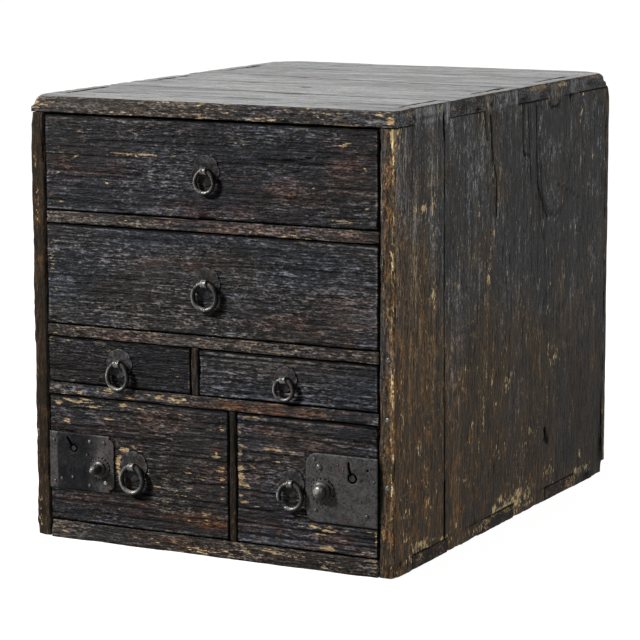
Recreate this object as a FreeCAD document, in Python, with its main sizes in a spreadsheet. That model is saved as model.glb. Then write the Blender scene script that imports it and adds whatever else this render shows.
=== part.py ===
import FreeCAD, Part
import math
import os
import sys

import Sketcher
from FreeCAD import Placement, Rotation, Vector

# Small tansu chest. X is the width, Y the depth with the drawer fronts on the -Y side, Z is up.
# The origin is the middle of the carcass's underside. All lengths are millimetres.

doc = FreeCAD.newDocument("SmallTansu")
sheet = doc.addObject("Spreadsheet::Sheet", "dims")
rows = [0]


class Q:
    """A number together with the expression that gives it."""

    def __init__(self, v, e):
        self.v, self.e = float(v), e

    def _op(self, other, sign, flip=False):
        o = other if isinstance(other, Q) else Q(other, repr(float(other)))
        a, b = (o, self) if flip else (self, o)
        v = {
            "+": lambda: a.v + b.v,
            "-": lambda: a.v - b.v,
            "*": lambda: a.v * b.v,
            "/": lambda: a.v / b.v,
        }[sign]()
        return Q(v, "(%s %s %s)" % (a.e, sign, b.e))

    def __add__(self, o):
        return self._op(o, "+")

    def __radd__(self, o):
        return self._op(o, "+", True)

    def __sub__(self, o):
        return self._op(o, "-")

    def __rsub__(self, o):
        return self._op(o, "-", True)

    def __mul__(self, o):
        return self._op(o, "*")

    def __rmul__(self, o):
        return self._op(o, "*", True)

    def __truediv__(self, o):
        return self._op(o, "/")

    def __neg__(self):
        return self._op(-1, "*")


def num(x):
    return x if isinstance(x, Q) else Q(x, repr(float(x)))


def cell(alias, value):
    """One driving dimension: its name in column A, its number in column B."""
    rows[0] += 1
    sheet.set("A%d" % rows[0], "name " + alias)
    sheet.set("B%d" % rows[0], repr(float(value)))
    sheet.setAlias("B%d" % rows[0], alias)
    return Q(value, "dims." + alias)


# ---------------------------------------------------------------- driving dimensions
width = cell("width", 364)
height = cell("height", 404)
depth = cell("carcass_depth", 478)
side = cell("side_board", 15)
top = cell("top_board_thickness", 15)
bottom = cell("bottom_board_thickness", 17)
foot = cell("bottom_finger", 14.5)
back = cell("back_panel_thickness", 8)
back_inset = cell("back_panel_inset", 2)
back_low = cell("back_panel_low", 12)
shelf = cell("shelf_thickness", 11)
upper_z = cell("upper_shelf_under", 290.5)
middle_z = cell("middle_shelf_under", 187.5)
lower_z = cell("lower_shelf_under", 134)
dado = cell("dado_deep", 4)
stop = cell("dado_stop", 10)
divider = cell("divider_thickness", 7)
tongue = cell("divider_tongue", 3)
upper_div_x = cell("upper_divider_left", -17.5)
lower_div_x = cell("lower_divider_left", 20.25)
gap = cell("drawer_gap", 0.6)
front_t = cell("drawer_front_thickness", 15)
wall_t = cell("drawer_wall", 8)
floor_t = cell("drawer_floor", 6)
rebate = cell("drawer_rebate", 4)
drop = cell("drawer_side_drop", 5)
drawer_len = cell("drawer_length", 468)
peg_radius = cell("peg_radius", 2.5)
peg_length = cell("peg_length", 32)
nail_shank = cell("nail_shank_radius", 0.8)

x_in = width / 2 - side  # inner face of a side board
y_front = -(depth + back) / 2  # plane of the drawer fronts
y_rear = y_front + depth  # rear edge of the boards
finger = depth / 6.5
steps = [num(0)] + [finger * (k + 0.5) for k in range(6)] + [depth]
top_under = height - top

# ---------------------------------------------------------------- building blocks
nodes = []  # every node: (label, object)
used = set()


def reg(obj, label):
    obj.Label = label
    nodes.append((label, obj))
    return obj


def at(obj, x, y, z):
    """Placement bound to the sheet."""
    for axis, q in zip("xyz", (x, y, z)):
        q = num(q)
        obj.setExpression("Placement.Base." + axis, q.e)
        base = obj.Placement.Base
        setattr(base, axis, q.v)
        obj.Placement = Placement(base, obj.Placement.Rotation)


def body(name, x, y, z):
    b = doc.addObject("PartDesign::Body", name)
    at(b, x, y, z)
    return b


# sign of the plane's normal along the axis that it crosses
NORMAL = {"XY_Plane": 1, "XZ_Plane": -1, "YZ_Plane": 1}


def sketch(b, plane, offset=0):
    sk = b.newObject("Sketcher::SketchObject", b.Name + "_sketch")
    found = [f for f in b.Origin.OriginFeatures if f.Role == plane][0]
    sk.AttachmentSupport = [(found, "")]
    sk.MapMode = "FlatFace"
    off = num(offset) * NORMAL[plane]
    sk.AttachmentOffset = Placement(Vector(0, 0, off.v), Rotation())
    if off.v:
        sk.setExpression("AttachmentOffset.Base.z", off.e)
    return sk


def pin_point(sk, geo, pos, x, y):
    """Fixes one point of a sketch at (x, y) from the sketch's origin."""
    for kind, q, axis in (("DistanceX", num(x), -2), ("DistanceY", num(y), -1)):
        if abs(q.v) < 1e-9:
            sk.addConstraint(Sketcher.Constraint("PointOnObject", geo, pos, axis))
        elif q.v > 0:
            n = sk.addConstraint(Sketcher.Constraint(kind, -1, 1, geo, pos, q.v))
            sk.setExpression("Constraints[%d]" % n, q.e)
        else:
            n = sk.addConstraint(Sketcher.Constraint(kind, geo, pos, -1, 1, -q.v))
            sk.setExpression("Constraints[%d]" % n, (-q).e)


def polygon(sk, points):
    points = [(num(x), num(y)) for x, y in points]
    first = sk.GeometryCount
    count = len(points)
    for i, (x, y) in enumerate(points):
        u, v = points[(i + 1) % count]
        sk.addGeometry(
            Part.LineSegment(Vector(x.v, y.v, 0), Vector(u.v, v.v, 0)), False
        )
    for i in range(count):
        sk.addConstraint(
            Sketcher.Constraint(
                "Coincident", first + i, 2, first + (i + 1) % count, 1
            )
        )
    for i, (x, y) in enumerate(points):
        pin_point(sk, first + i, 1, x, y)


def rect(sk, x, y, w, t):
    x, y, w, t = num(x), num(y), num(w), num(t)
    polygon(sk, [(x, y), (x + w, y), (x + w, y + t), (x, y + t)])


def circle(sk, x, y, r):
    x, y, r = num(x), num(y), num(r)
    g = sk.addGeometry(Part.Circle(Vector(x.v, y.v, 0), Vector(0, 0, 1), r.v), False)
    n = sk.addConstraint(Sketcher.Constraint("Radius", g, r.v))
    sk.setExpression("Constraints[%d]" % n, r.e)
    pin_point(sk, g, 3, x, y)


def extrude(b, kind, sk, plane, length):
    """Pad or Pocket, always towards the plus side of the axis that the plane crosses."""
    f = b.newObject("PartDesign::" + kind, b.Name + "_" + kind.lower())
    f.Profile = sk
    length = num(length)
    f.Length = length.v
    f.setExpression("Length", length.e)
    outward = NORMAL[plane] > 0
    f.Reversed = (not outward) if kind == "Pad" else outward
    return f


def pad(b, plane, offset, length, *shapes):
    return feature(b, "Pad", plane, offset, length, shapes)


def pocket(b, plane, offset, length, *shapes):
    return feature(b, "Pocket", plane, offset, length, shapes)


cuts = []  # (body, pocket), whose volumes are compared at the end


def feature(b, kind, plane, offset, length, shapes):
    sk = sketch(b, plane, offset)
    for draw, args in shapes:
        draw(sk, *args)
    f = extrude(b, kind, sk, plane, length)
    if kind == "Pocket":
        cuts.append((b, f))
    return f


def R(x, y, w, t):
    return (rect, (x, y, w, t))


def C(x, y, r):
    return (circle, (x, y, r))


def P(*points):
    return (polygon, (points,))


def box(name, x, y, z, dx, dy, dz):
    o = doc.addObject("Part::Box", name)
    for prop, q in (("Length", dx), ("Width", dy), ("Height", dz)):
        q = num(q)
        setattr(o, prop, q.v)
        o.setExpression(prop, q.e)
    at(o, x, y, z)
    return o


def cylinder_y(name, x, y, z, r, length):
    """A cylinder along +Y from (x, y, z)."""
    o = doc.addObject("Part::Cylinder", name)
    r, length = num(r), num(length)
    o.Radius, o.Height = r.v, length.v
    o.setExpression("Radius", r.e)
    o.setExpression("Height", length.e)
    o.Placement = Placement(Vector(), Rotation(Vector(1, 0, 0), -90))
    at(o, x, y, z)
    return o


def group(label, parts):
    o = doc.addObject("Part::Compound", label)
    o.Links = parts
    return reg(o, label)


# ---------------------------------------------------------------- carcass boards
# Side boards: their ends are box-jointed with the top board (three fingers) and stand on the floor
# on four fingers between those of the bottom board.
outline = []
for k in range(7):
    z = num(0) if k % 2 == 0 else foot
    outline += [(steps[k], z), (steps[k + 1], z)]
for k in reversed(range(7)):
    z = top_under if k % 2 == 0 else height
    outline += [(steps[k + 1], z), (steps[k], z)]

bolt_y = cell("bolt_front", 7.8)  # bolt's front face, back from the drawer fronts
bolt_t = cell("bolt_thickness", 2.6)
bolt_deep = cell("bolt_mortise_deep", 8)
LOCK = {}
for tag, sign, knob_x, knob_z, crank, post_x, post_z, post_r in (
    ("left", -1, -112.5, 70.0, 6.0, -140.3, 85.8, 2.3),
    ("right", 1, 113.3, 72.4, 5.5, 142.0, 86.2, 2.8),
):
    LOCK[tag] = {
        "sign": sign,
        "kx": cell(tag + "_knob_x", knob_x),
        "kz": cell(tag + "_knob_z", knob_z),
        "crank": cell(tag + "_crank", crank),
        "px": cell(tag + "_post_x", post_x),
        "pz": cell(tag + "_post_z", post_z),
        "pr": cell(tag + "_post_radius", post_r),
        "bz": cell(tag + "_bolt_low", 72.8 if sign < 0 else 75.0),
        "bh": cell(tag + "_bolt_high", 8.2 if sign < 0 else 7.5),
    }

for tag, sign in (("left", -1), ("right", 1)):
    b = body(tag + "_side", -width / 2 if sign < 0 else x_in, y_front, 0)
    pad(b, "YZ_Plane", 0, side, P(*outline))
    inner = side - dado if sign < 0 else num(0)
    for z in (upper_z, middle_z, lower_z):
        pocket(b, "YZ_Plane", inner, dado, R(stop, z, depth - stop, shelf))
    lk = LOCK[tag]
    pocket(
        b,
        "YZ_Plane",
        side - bolt_deep if sign < 0 else num(0),
        bolt_deep,
        R(bolt_y - 0.6, lk["bz"] - 0.7, bolt_t + 1.2, lk["bh"] + 1.4),
    )
    reg(b, tag + "_side")

# Top board: four fingers show on each side face.
left_edge, right_edge = [], []
for k in range(7):
    x = num(0) if k % 2 == 0 else side
    left_edge += [(x, steps[k]), (x, steps[k + 1])]
    right_edge += [(width - x, steps[k]), (width - x, steps[k + 1])]
b = body("top_board", -width / 2, y_front, top_under)
pad(b, "XY_Plane", 0, top, P(*(right_edge + left_edge[::-1])))
reg(b, "top_board")

# Bottom board: three thinner fingers reach through each side board.
b = body("bottom_board", -width / 2, y_front, 0)
pad(b, "XY_Plane", 0, bottom, R(side, 0, width - side * 2, depth))
reach = side + 8
pad(
    b,
    "XY_Plane",
    0,
    foot,
    *[
        R(x, steps[k], reach, steps[k + 1] - steps[k])
        for k in (1, 3, 5)
        for x in (num(0), width - reach)
    ],
)
pocket(
    b,
    "XY_Plane",
    bottom - tongue,
    tongue,
    R(width / 2 + lower_div_x, stop, divider, depth - stop),
)
reg(b, "bottom_board")

# Shelves in stopped dados. The shelf above and below each divider takes its tongue.
for label, z, lower_cut, upper_cut in (
    ("upper_shelf", upper_z, None, None),
    ("middle_shelf", middle_z, upper_div_x, None),
    ("lower_shelf", lower_z, lower_div_x, upper_div_x),
):
    b = body(label, 0, y_front, z)
    out = x_in + dado
    pad(
        b,
        "XY_Plane",
        0,
        shelf,
        P(
            (-x_in, 0),
            (x_in, 0),
            (x_in, stop),
            (out, stop),
            (out, depth),
            (-out, depth),
            (-out, stop),
            (-x_in, stop),
        ),
    )
    if lower_cut:
        pocket(b, "XY_Plane", 0, tongue, R(lower_cut, stop, divider, depth - stop))
    if upper_cut:
        pocket(
            b,
            "XY_Plane",
            shelf - tongue,
            tongue,
            R(upper_cut, stop, divider, depth - stop),
        )
    reg(b, label)

for label, x, z0, z1 in (
    ("upper_divider", upper_div_x, lower_z + shelf, middle_z),
    ("lower_divider", lower_div_x, bottom, lower_z),
):
    b = body(label, x, y_front, 0)
    pad(
        b,
        "YZ_Plane",
        0,
        divider,
        P(
            (0, z0),
            (stop, z0),
            (stop, z0 - tongue),
            (depth, z0 - tongue),
            (depth, z1 + tongue),
            (stop, z1 + tongue),
            (stop, z1),
            (0, z1),
        ),
    )
    reg(b, label)

b = body("back_panel", back_inset - width / 2, y_rear, back_low)
pad(
    b,
    "XZ_Plane",
    0,
    back,
    R(0, 0, width - back_inset * 2, height - back_low * 2),
)
reg(b, "back_panel")

# Wooden pegs across every finger of the side boards, flush with the side faces.
pegs = []
for tag, sign in (("l", -1), ("r", 1)):
    for k in range(7):
        z = height - top / 2 if k % 2 else foot / 2
        o = doc.addObject("Part::Cylinder", "peg_%s%d" % (tag, k))
        o.Radius, o.Height = peg_radius.v, peg_length.v
        o.setExpression("Radius", peg_radius.e)
        o.setExpression("Height", peg_length.e)
        o.Placement = Placement(Vector(), Rotation(Vector(0, 1, 0), 90))
        x = -width / 2 if sign < 0 else width / 2 - peg_length
        at(o, x, y_front + (steps[k] + steps[k + 1]) / 2, z)
        pegs.append(o)
group("carcass_pegs", pegs)


def nail(name, x, y, z, head, rise, sink, shank=None):
    """A nail driven towards +Y: its head stands proud of the plane y by rise."""
    shank = shank or nail_shank
    head, rise, sink = num(head), num(rise), num(sink)
    c = doc.addObject("Part::Cone", name + "_head")
    for prop, q in (("Radius1", head), ("Radius2", head * 0.45), ("Height", rise)):
        setattr(c, prop, q.v)
        c.setExpression(prop, q.e)
    c.Placement = Placement(Vector(), Rotation(Vector(1, 0, 0), 90))
    at(c, x, y, z)
    s = cylinder_y(name + "_shank", x, num(y) - rise * 0.5, z, shank, sink + rise * 0.5)
    f = doc.addObject("Part::Fuse", name)
    f.Base, f.Tool = c, s
    return f


# Iron nails: three in the right board's front edge, and twelve round the back panel, driven flush.
edge_head = cell("edge_nail_head", 3)
edge_rise = cell("edge_nail_rise", 1)
edge_sink = cell("edge_nail_sink", 28)
edge_shank = cell("edge_nail_shank", 1.3)
back_head = cell("back_nail_head", 2.5)
back_sink = cell("back_nail_length", 26)
iron = []
for i, (x, z) in enumerate(((175.4, 81), (175.5, 140), (176, 192))):
    ex, ez = cell("edge_nail%d_x" % (i + 1), x), cell("edge_nail%d_z" % (i + 1), z)
    iron.append(
        nail("edge_nail_%d" % i, ex, y_front, ez, edge_head, edge_rise, edge_sink, edge_shank)
    )
for i, (x, z) in enumerate(
    [(sx * 174, z) for sx in (-1, 1) for z in (40, 120, 200, 280, 360)]
    + [(0, 296), (0, 193)]
):
    bx, bz = cell("back_nail%d_x" % (i + 1), x), cell("back_nail%d_z" % (i + 1), z)
    s = cylinder_y(
        "back_nail_%d_shank" % i, bx, y_rear + back - back_sink, bz, edge_shank, back_sink
    )
    d = cylinder_y("back_nail_%d_head" % i, bx, y_rear + back - 1.2, bz, back_head, 1.2)
    f = doc.addObject("Part::Fuse", "back_nail_%d" % i)
    f.Base, f.Tool = s, d
    iron.append(f)
group("carcass_nails", iron)

# ---------------------------------------------------------------- drawers
BAYS = {
    "top_drawer": (-x_in, x_in, upper_z + shelf, top_under),
    "second_drawer": (-x_in, x_in, middle_z + shelf, upper_z),
    "left_small_drawer": (-x_in, upper_div_x, lower_z + shelf, middle_z),
    "right_small_drawer": (upper_div_x + divider, x_in, lower_z + shelf, middle_z),
    "left_lock_drawer": (-x_in, lower_div_x, bottom, lower_z),
    "right_lock_drawer": (lower_div_x + divider, x_in, bottom, lower_z),
}
SHAKE = {  # extra room at the top of each worn front
    "top_drawer": 0.9,
    "second_drawer": 0.4,
    "left_small_drawer": 0.0,
    "right_small_drawer": 0.4,
    "left_lock_drawer": 0.2,
    "right_lock_drawer": 0.2,
}
PULL = {  # eye centre x, z; plate radius; ring outside; ring wire; opening of the ring in degrees
    "top_drawer": (-0.8, 345.0, 14.0, 23.5, 3.8, 0),
    "second_drawer": (-1.0, 246.0, 14.0, 28.0, 4.6, 0),
    "left_small_drawer": (-91.5, 167.5, 13.5, 28.0, 4.2, 0),
    "right_small_drawer": (76.8, 167.5, 11.5, 22.0, 3.8, 0),
    "left_lock_drawer": (-77.5, 75.0, 14.0, 28.5, 4.6, 0),
    "right_lock_drawer": (83.0, 76.0, 12.5, 27.0, 4.2, 30),
}
plate_t = cell("pull_plate_thickness", 1.0)
band_w = cell("staple_width", 5.6)
band_t = cell("staple_band", 1.0)
leg_t = cell("staple_legs", 2.0)
clench = cell("staple_clench", 16)
eye_room = cell("eye_clearance", 0.5)
ring_stand = cell("ring_stand_off", 0.6)  # between the ring and its plate
hole_room = cell("hole_clearance", 0.3)
eye_seat = cell("plate_slot_height", 5.4)
lock_plate_t = cell("lock_plate_thickness", 1.2)
case_y = cell("lock_case_front", 5)
case_deep = cell("lock_case_deep", 8)
case_wall = cell("lock_case_wall", 1)
mortise_in = cell("lock_mortise_inset", 8.1)  # clear of the drawer's side board
shank_r = cell("knob_shank_radius", 2.4)
arm_y = cell("crank_front", 5.6)
arm_t = cell("crank_thickness", 1.8)
pin_r = cell("crank_pin_radius", 1.4)

for name, (x0, x1, z0, z1) in BAYS.items():
    shake = cell(name + "_top_room", SHAKE[name])
    fx, fw = x0 + gap, x1 - x0 - gap * 2
    fz, fh = z0 + gap, z1 - z0 - gap * 2 - shake
    cx, cz, pr, od, wire, opening = PULL[name]
    cx, cz = cell(name + "_pull_x", cx), cell(name + "_pull_z", cz)
    pr, od = cell(name + "_plate_radius", pr), cell(name + "_ring_outside", od)
    wire = cell(name + "_ring_wire", wire)

    # front board, rebated at both ends for the side boards, with the hole for the staple's legs
    b = body(name + "_front", fx, y_front, fz)
    pad(b, "XZ_Plane", 0, front_t, R(0, 0, fw, fh))
    pocket(
        b,
        "XZ_Plane",
        front_t - rebate,
        rebate,
        R(0, 0, wall_t, fh - drop),
        R(fw - wall_t, 0, wall_t, fh - drop),
    )
    slot_w, slot_h = band_w + hole_room * 2, leg_t + hole_room * 2
    pocket(
        b,
        "XZ_Plane",
        0,
        front_t,
        R(cx - fx - slot_w / 2, cz - fz - slot_h / 2, slot_w, slot_h),
    )
    tag = {"left_lock_drawer": "left", "right_lock_drawer": "right"}.get(name)
    if tag:
        lk = LOCK[tag]
        sign = lk["sign"]
        # mortise for the lock case, open at the back of the board
        inner_x = lk["kx"] - sign * 11.5
        outer_x = -x_in + gap + mortise_in if sign < 0 else x_in - gap - mortise_in
        cx0, cx1 = (outer_x, inner_x) if sign < 0 else (inner_x, outer_x)
        cz0 = lk["kz"] - 9.5
        cz1 = lk["pz"] + 8.2
        lk.update(cx0=cx0, cx1=cx1, cz0=cz0, cz1=cz1, fx=fx, fw=fw, fz=fz)
        pocket(
            b,
            "XZ_Plane",
            case_y,
            front_t - case_y,
            R(cx0 - fx, cz0 - fz, cx1 - cx0, cz1 - cz0),
        )
        # slot in the board's end for the bolt
        pocket(
            b,
            "YZ_Plane",
            num(0) if sign < 0 else fw - mortise_in,
            mortise_in,
            R(bolt_y - 0.4, lk["bz"] - fz - 0.4, bolt_t + 0.7, lk["bh"] + 0.8),
        )
        # holes through to the lock plate: the knob's shank, the key's post and its bit
        pocket(b, "XZ_Plane", 0, case_y, C(lk["kx"] - fx, lk["kz"] - fz, shank_r + 0.5))
        pocket(b, "XZ_Plane", 0, case_y, C(lk["px"] - fx, lk["pz"] - fz, lk["pr"] + 2.2))
        sx, sz = lk["px"] - fx, lk["pz"] - fz
        dx = -8.0 if sign < 0 else -4.2
        dz = 10.0 if sign < 0 else 14.0
        pocket(
            b,
            "XZ_Plane",
            0,
            case_y,
            P((sx - 1.8, sz), (sx + 1.8, sz), (sx + dx + 1.6, sz + dz), (sx + dx - 1.6, sz + dz)),
        )
    reg(b, name + "_front")

    # box: two side boards, the back between them, and the floor nailed on underneath
    side_h = fh - floor_t - drop
    sides = [
        box(
            name + "_wall_%d" % i,
            x,
            y_front + front_t - rebate,
            fz + floor_t,
            wall_t,
            drawer_len - front_t + rebate,
            side_h,
        )
        for i, x in enumerate((fx, fx + fw - wall_t))
    ]
    group(name + "_sides", sides)
    reg(
        box(
            name + "_back_board",
            fx + wall_t,
            y_front + drawer_len - wall_t,
            fz + floor_t,
            fw - wall_t * 2,
            wall_t,
            side_h - 3,
        ),
        name + "_back",
    )
    floor = body(name + "_bottom", fx, y_front + front_t - rebate, fz)
    pad(
        floor,
        "XY_Plane",
        0,
        floor_t,
        P(
            (0, 0),
            (wall_t, 0),
            (wall_t, rebate),
            (fw - wall_t, rebate),
            (fw - wall_t, 0),
            (fw, 0),
            (fw, drawer_len - front_t + rebate),
            (0, drawer_len - front_t + rebate),
        ),
    )
    reg(floor, name + "_bottom")

    # pull: lobed plate, staple whose legs are clenched inside the drawer, and the ring
    p = body(name + "_pull_plate", cx, y_front - plate_t, cz)
    pad(p, "XZ_Plane", 0, plate_t, C(0, 0, pr * 0.72))
    lobe = pad(p, "XZ_Plane", 0, plate_t, C(pr * 0.7, 0, pr * 0.3))
    doc.recompute()
    ring8 = p.newObject("PartDesign::PolarPattern", p.Name + "_lobes")
    ring8.Originals = [lobe]
    ring8.Axis = (lobe.Profile[0], ["N_Axis"])
    ring8.Angle = 360
    ring8.Occurrences = 8
    p.Tip = ring8
    doc.recompute()
    # the staple's eye is let into the plate
    pocket(p, "XZ_Plane", 0, plate_t, R(-slot_w / 2, -eye_seat / 2, slot_w, eye_seat))

    eye_r = wire / 2 + eye_room
    eye_y = plate_t + wire / 2 + ring_stand  # eye centre ahead of the front
    s = body(name + "_staple", cx - band_w / 2, y_front - eye_y, cz)
    pad(s, "YZ_Plane", 0, band_w, C(0, 0, eye_r + band_t), C(0, 0, eye_r))
    reach = eye_y + front_t
    pad(
        s,
        "YZ_Plane",
        0,
        band_w,
        R(eye_r + band_t * 0.4, -leg_t / 2, reach - eye_r + band_t * 0.6, leg_t),
    )
    pad(s, "YZ_Plane", 0, band_w, R(reach, -clench / 2, band_t, clench))
    group(name + "_pull_fixing", [p, s])

    t = doc.addObject("Part::Torus", name + "_ring_torus")
    major = (od - wire) / 2
    t.Radius1, t.Radius2 = major.v, wire.v / 2
    t.setExpression("Radius1", major.e)
    t.setExpression("Radius2", (wire / 2).e)
    start = 0
    if opening:
        open_deg = cell(name + "_ring_opening", opening)
        t.setExpression("Angle3", (360 - open_deg).e)
        t.Angle3 = 360 - opening
        start = 222 + opening / 2
    t.Placement = Placement(
        Vector(), Rotation(Vector(1, 0, 0), 90) * Rotation(Vector(0, 0, 1), start)
    )
    # the wire's arc inside the eye sags by up to 0.44 mm, so the ring is set 0.16 mm high
    at(t, cx, y_front - eye_y, cz - major + 0.16)
    reg(t, name + "_ring")

# ---------------------------------------------------------------- locks
KNOB = {  # profile of the turned knob: (radius, height above the rosette)
    "left": ((6.0, 0), (6.8, 1.2), (4.6, 2.6), (5.2, 5.0), (3.9, 9.6), (2.8, 12.6), (1.2, 14.2)),
    "right": ((8.8, 0), (9.4, 1.2), (8.1, 2.6), (7.0, 3.4), (6.2, 5.2), (4.2, 7.0), (1.4, 7.8)),
}
ROSETTE = {"left": (10.6, 1.2), "right": (12.3, 1.4)}
NAILS = {
    "left": (
        (-123.2, 93.3, 1.9), (-108.2, 93.3, 1.9), (-161.2, 92.0, 1.7), (-126.2, 80.8, 1.2),
        (-106.6, 56.7, 2.3), (-153.2, 56.7, 1.7), (-141.6, 58.8, 1.7), (-160.3, 54.0, 1.6),
        (-123.7, 52.5, 1.8),
    ),
    "right": (
        (110.0, 93.7, 2.9), (105.4, 100.3, 1.7), (106.7, 55.0, 1.9), (156.2, 54.5, 1.8),
        (133.3, 93.2, 1.0), (163.0, 85.3, 1.1), (128.0, 97.0, 1.0),
    ),
}
nail_sink = cell("lock_nail_length", 5.7)
rosette_bead = cell("rosette_bead_radius", 1.2)

for tag, lk in LOCK.items():
    sign = lk["sign"]
    kx, kz, px, pz = lk["kx"], lk["kz"], lk["px"], lk["pz"]
    y_plate = y_front - lock_plate_t
    # plate: the drawer's outer end is square, the inner corners are shaped
    b = body(tag + "_lock_plate", 0, y_plate, 0)
    if sign < 0:
        px0, px1 = cell("left_plate_outer", -166), cell("left_plate_inner", -98.25)
        pz0, pz1 = cell("left_plate_low", 47.5), cell("left_plate_high", 99.6)
        pad(b, "XZ_Plane", 0, lock_plate_t, R(px0, pz0, px1 - px0, pz1 - pz0))
        pocket(
            b,
            "XZ_Plane",
            0,
            lock_plate_t,
            R(px1 - 4.55, pz1 - 8, 4.55, 8),
            R(px1 - 4.55, pz0, 4.55, 8),
        )
        pad(
            b,
            "XZ_Plane",
            0,
            lock_plate_t,
            C(px1 - 5, pz1 - 8, 5),
            C(px1 - 5, pz0 + 8, 5),
        )
    else:
        px0, px1 = cell("right_plate_inner", 96.7), cell("right_plate_outer", 166.2)
        pz0, pz1 = cell("right_plate_low", 44.5), cell("right_plate_high", 105.5)
        cr = cell("right_plate_corner", 11)
        pad(b, "XZ_Plane", 0, lock_plate_t, R(px0 + cr, pz0, px1 - px0 - cr, pz1 - pz0))
        pad(b, "XZ_Plane", 0, lock_plate_t, R(px0, pz0 + cr, cr * 2, pz1 - pz0 - cr * 2))
        pad(
            b,
            "XZ_Plane",
            0,
            lock_plate_t,
            C(px0 + cr, pz0 + cr, cr),
            C(px0 + cr, pz1 - cr, cr),
        )
    pocket(b, "XZ_Plane", 0, lock_plate_t, C(kx, kz, shank_r + 0.4))
    pocket(b, "XZ_Plane", 0, lock_plate_t, C(px, pz, lk["pr"] + (1.5 if sign < 0 else 1.8)))
    dx, dz = (-7.1, 9.2) if sign < 0 else (-3.7, 13.3)
    pocket(
        b,
        "XZ_Plane",
        0,
        lock_plate_t,
        P((px - 1.2, pz), (px + 1.2, pz), (px + dx + 1.0, pz + dz), (px + dx - 1.0, pz + dz)),
    )
    group_nails = []
    holes = []
    for i, (x, z, r) in enumerate(NAILS[tag]):
        nx = cell("%s_lock_nail%d_x" % (tag, i + 1), x)
        nz = cell("%s_lock_nail%d_z" % (tag, i + 1), z)
        nr = cell("%s_lock_nail%d_head" % (tag, i + 1), r)
        holes.append(C(nx, nz, nail_shank + 0.05))
        group_nails.append(
            nail("%s_lock_nail_%d" % (tag, i), nx, y_plate, nz, nr, nr * 0.5, nail_sink)
        )
    pocket(b, "XZ_Plane", 0, lock_plate_t, *holes)
    reg(b, tag + "_lock_plate")
    group(tag + "_lock_nails", group_nails)

    # beaded washer under the knob
    rr, rt = ROSETTE[tag]
    rr, rt = cell(tag + "_rosette_radius", rr), cell(tag + "_rosette_thickness", rt)
    r = body(tag + "_lock_rosette", kx, y_plate - rt, kz)
    pad(r, "XZ_Plane", 0, rt, C(0, 0, rr - rosette_bead), C(0, 0, shank_r + 0.4))
    bead = pad(r, "XZ_Plane", 0, rt, C(rr - rosette_bead, 0, rosette_bead))
    doc.recompute()
    beads = r.newObject("PartDesign::PolarPattern", r.Name + "_beads")
    beads.Originals = [bead]
    beads.Axis = (bead.Profile[0], ["N_Axis"])
    beads.Angle = 360
    beads.Occurrences = 18
    r.Tip = beads
    doc.recompute()
    reg(r, tag + "_lock_rosette")

    # knob: turned head, shank through the front, crank arm and pin inside the case
    lift = cell(tag + "_knob_lift", 0.3)
    y_knob = y_plate - rt - lift
    k = body(tag + "_lock_knob", kx, y_knob, kz)
    sk = sketch(k, "YZ_Plane")
    profile = [(-hgt, rad) for rad, hgt in KNOB[tag]]
    polygon(sk, [(0, 0)] + profile + [(profile[-1][0], 0)])
    turn = k.newObject("PartDesign::Revolution", k.Name + "_turned")
    turn.Profile = sk
    turn.ReferenceAxis = (sk, ["H_Axis"])
    turn.Angle = 360
    arm_end = y_front + arm_y + arm_t - y_knob
    pad(k, "XZ_Plane", -0.2, arm_end + 0.2, C(0, 0, shank_r))
    # rest position: the crank leans 30 degrees from upright, away from the drawer's end
    lean_x, lean_z = lk["crank"] * (-sign) * 0.5, lk["crank"] * (math.sqrt(3) / 2)
    ux, uz = -sign * 0.5, math.sqrt(3) / 2
    vx, vz = uz * 1.7, -ux * 1.7
    pad(
        k,
        "XZ_Plane",
        arm_end - arm_t,
        arm_t,
        P((-vx, -vz), (vx, vz), (lean_x + vx, lean_z + vz), (lean_x - vx, lean_z - vz)),
    )
    pad(
        k,
        "XZ_Plane",
        arm_end - arm_t,
        (bolt_y + bolt_t - 0.3) - arm_y,
        C(lean_x, lean_z, pin_r),
    )
    reg(k, tag + "_lock_knob")

    # bolt: drawn back at rest, its notch takes the crank's pin
    reach_out = cell(tag + "_bolt_set_back", 0.5)
    end_x = lk["fx"] + reach_out if sign < 0 else lk["fx"] + lk["fw"] - reach_out
    pin_x = kx + lean_x
    tail_x = pin_x - sign * 4.4
    bx0, bx1 = (end_x, tail_x) if sign < 0 else (tail_x, end_x)
    b = body(tag + "_lock_bolt", bx0, y_front + bolt_y, lk["bz"])
    pad(b, "XZ_Plane", 0, bolt_t, R(0, 0, bx1 - bx0, lk["bh"]))
    notch_top = kz + lk["crank"] + pin_r + 0.4 - lk["bz"]
    pocket(
        b,
        "XZ_Plane",
        0,
        bolt_t,
        R(pin_x - bx0 - pin_r - 0.35, 0, pin_r * 2 + 0.7, notch_top),
    )
    reg(b, tag + "_lock_bolt")

    # case: sheet-iron tray let into the back of the front board, with the key's post
    room = 0.05
    ox, oz = lk["cx0"] + room, lk["cz0"] + room
    ow, oh = lk["cx1"] - lk["cx0"] - room * 2, lk["cz1"] - lk["cz0"] - room * 2
    c = body(tag + "_lock_case", ox, y_front + case_y, oz)
    pad(c, "XZ_Plane", 0, case_deep, R(0, 0, ow, oh))
    pocket(
        c,
        "XZ_Plane",
        0,
        case_deep - case_wall,
        R(case_wall, case_wall, ow - case_wall * 2, oh - case_wall * 2),
    )
    pocket(
        c,
        "YZ_Plane",
        num(0) if sign < 0 else ow - case_wall,
        case_wall,
        R(bolt_y - case_y - 0.4, lk["bz"] - oz - 0.4, bolt_t + 0.7, lk["bh"] + 0.8),
    )
    post_len = case_y + case_deep - case_wall + lock_plate_t
    pad(
        c,
        "XZ_Plane",
        -(case_y + lock_plate_t),
        post_len + 0.2,
        C(px - ox, pz - oz, lk["pr"]),
    )
    reg(c, tag + "_lock_case")

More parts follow.
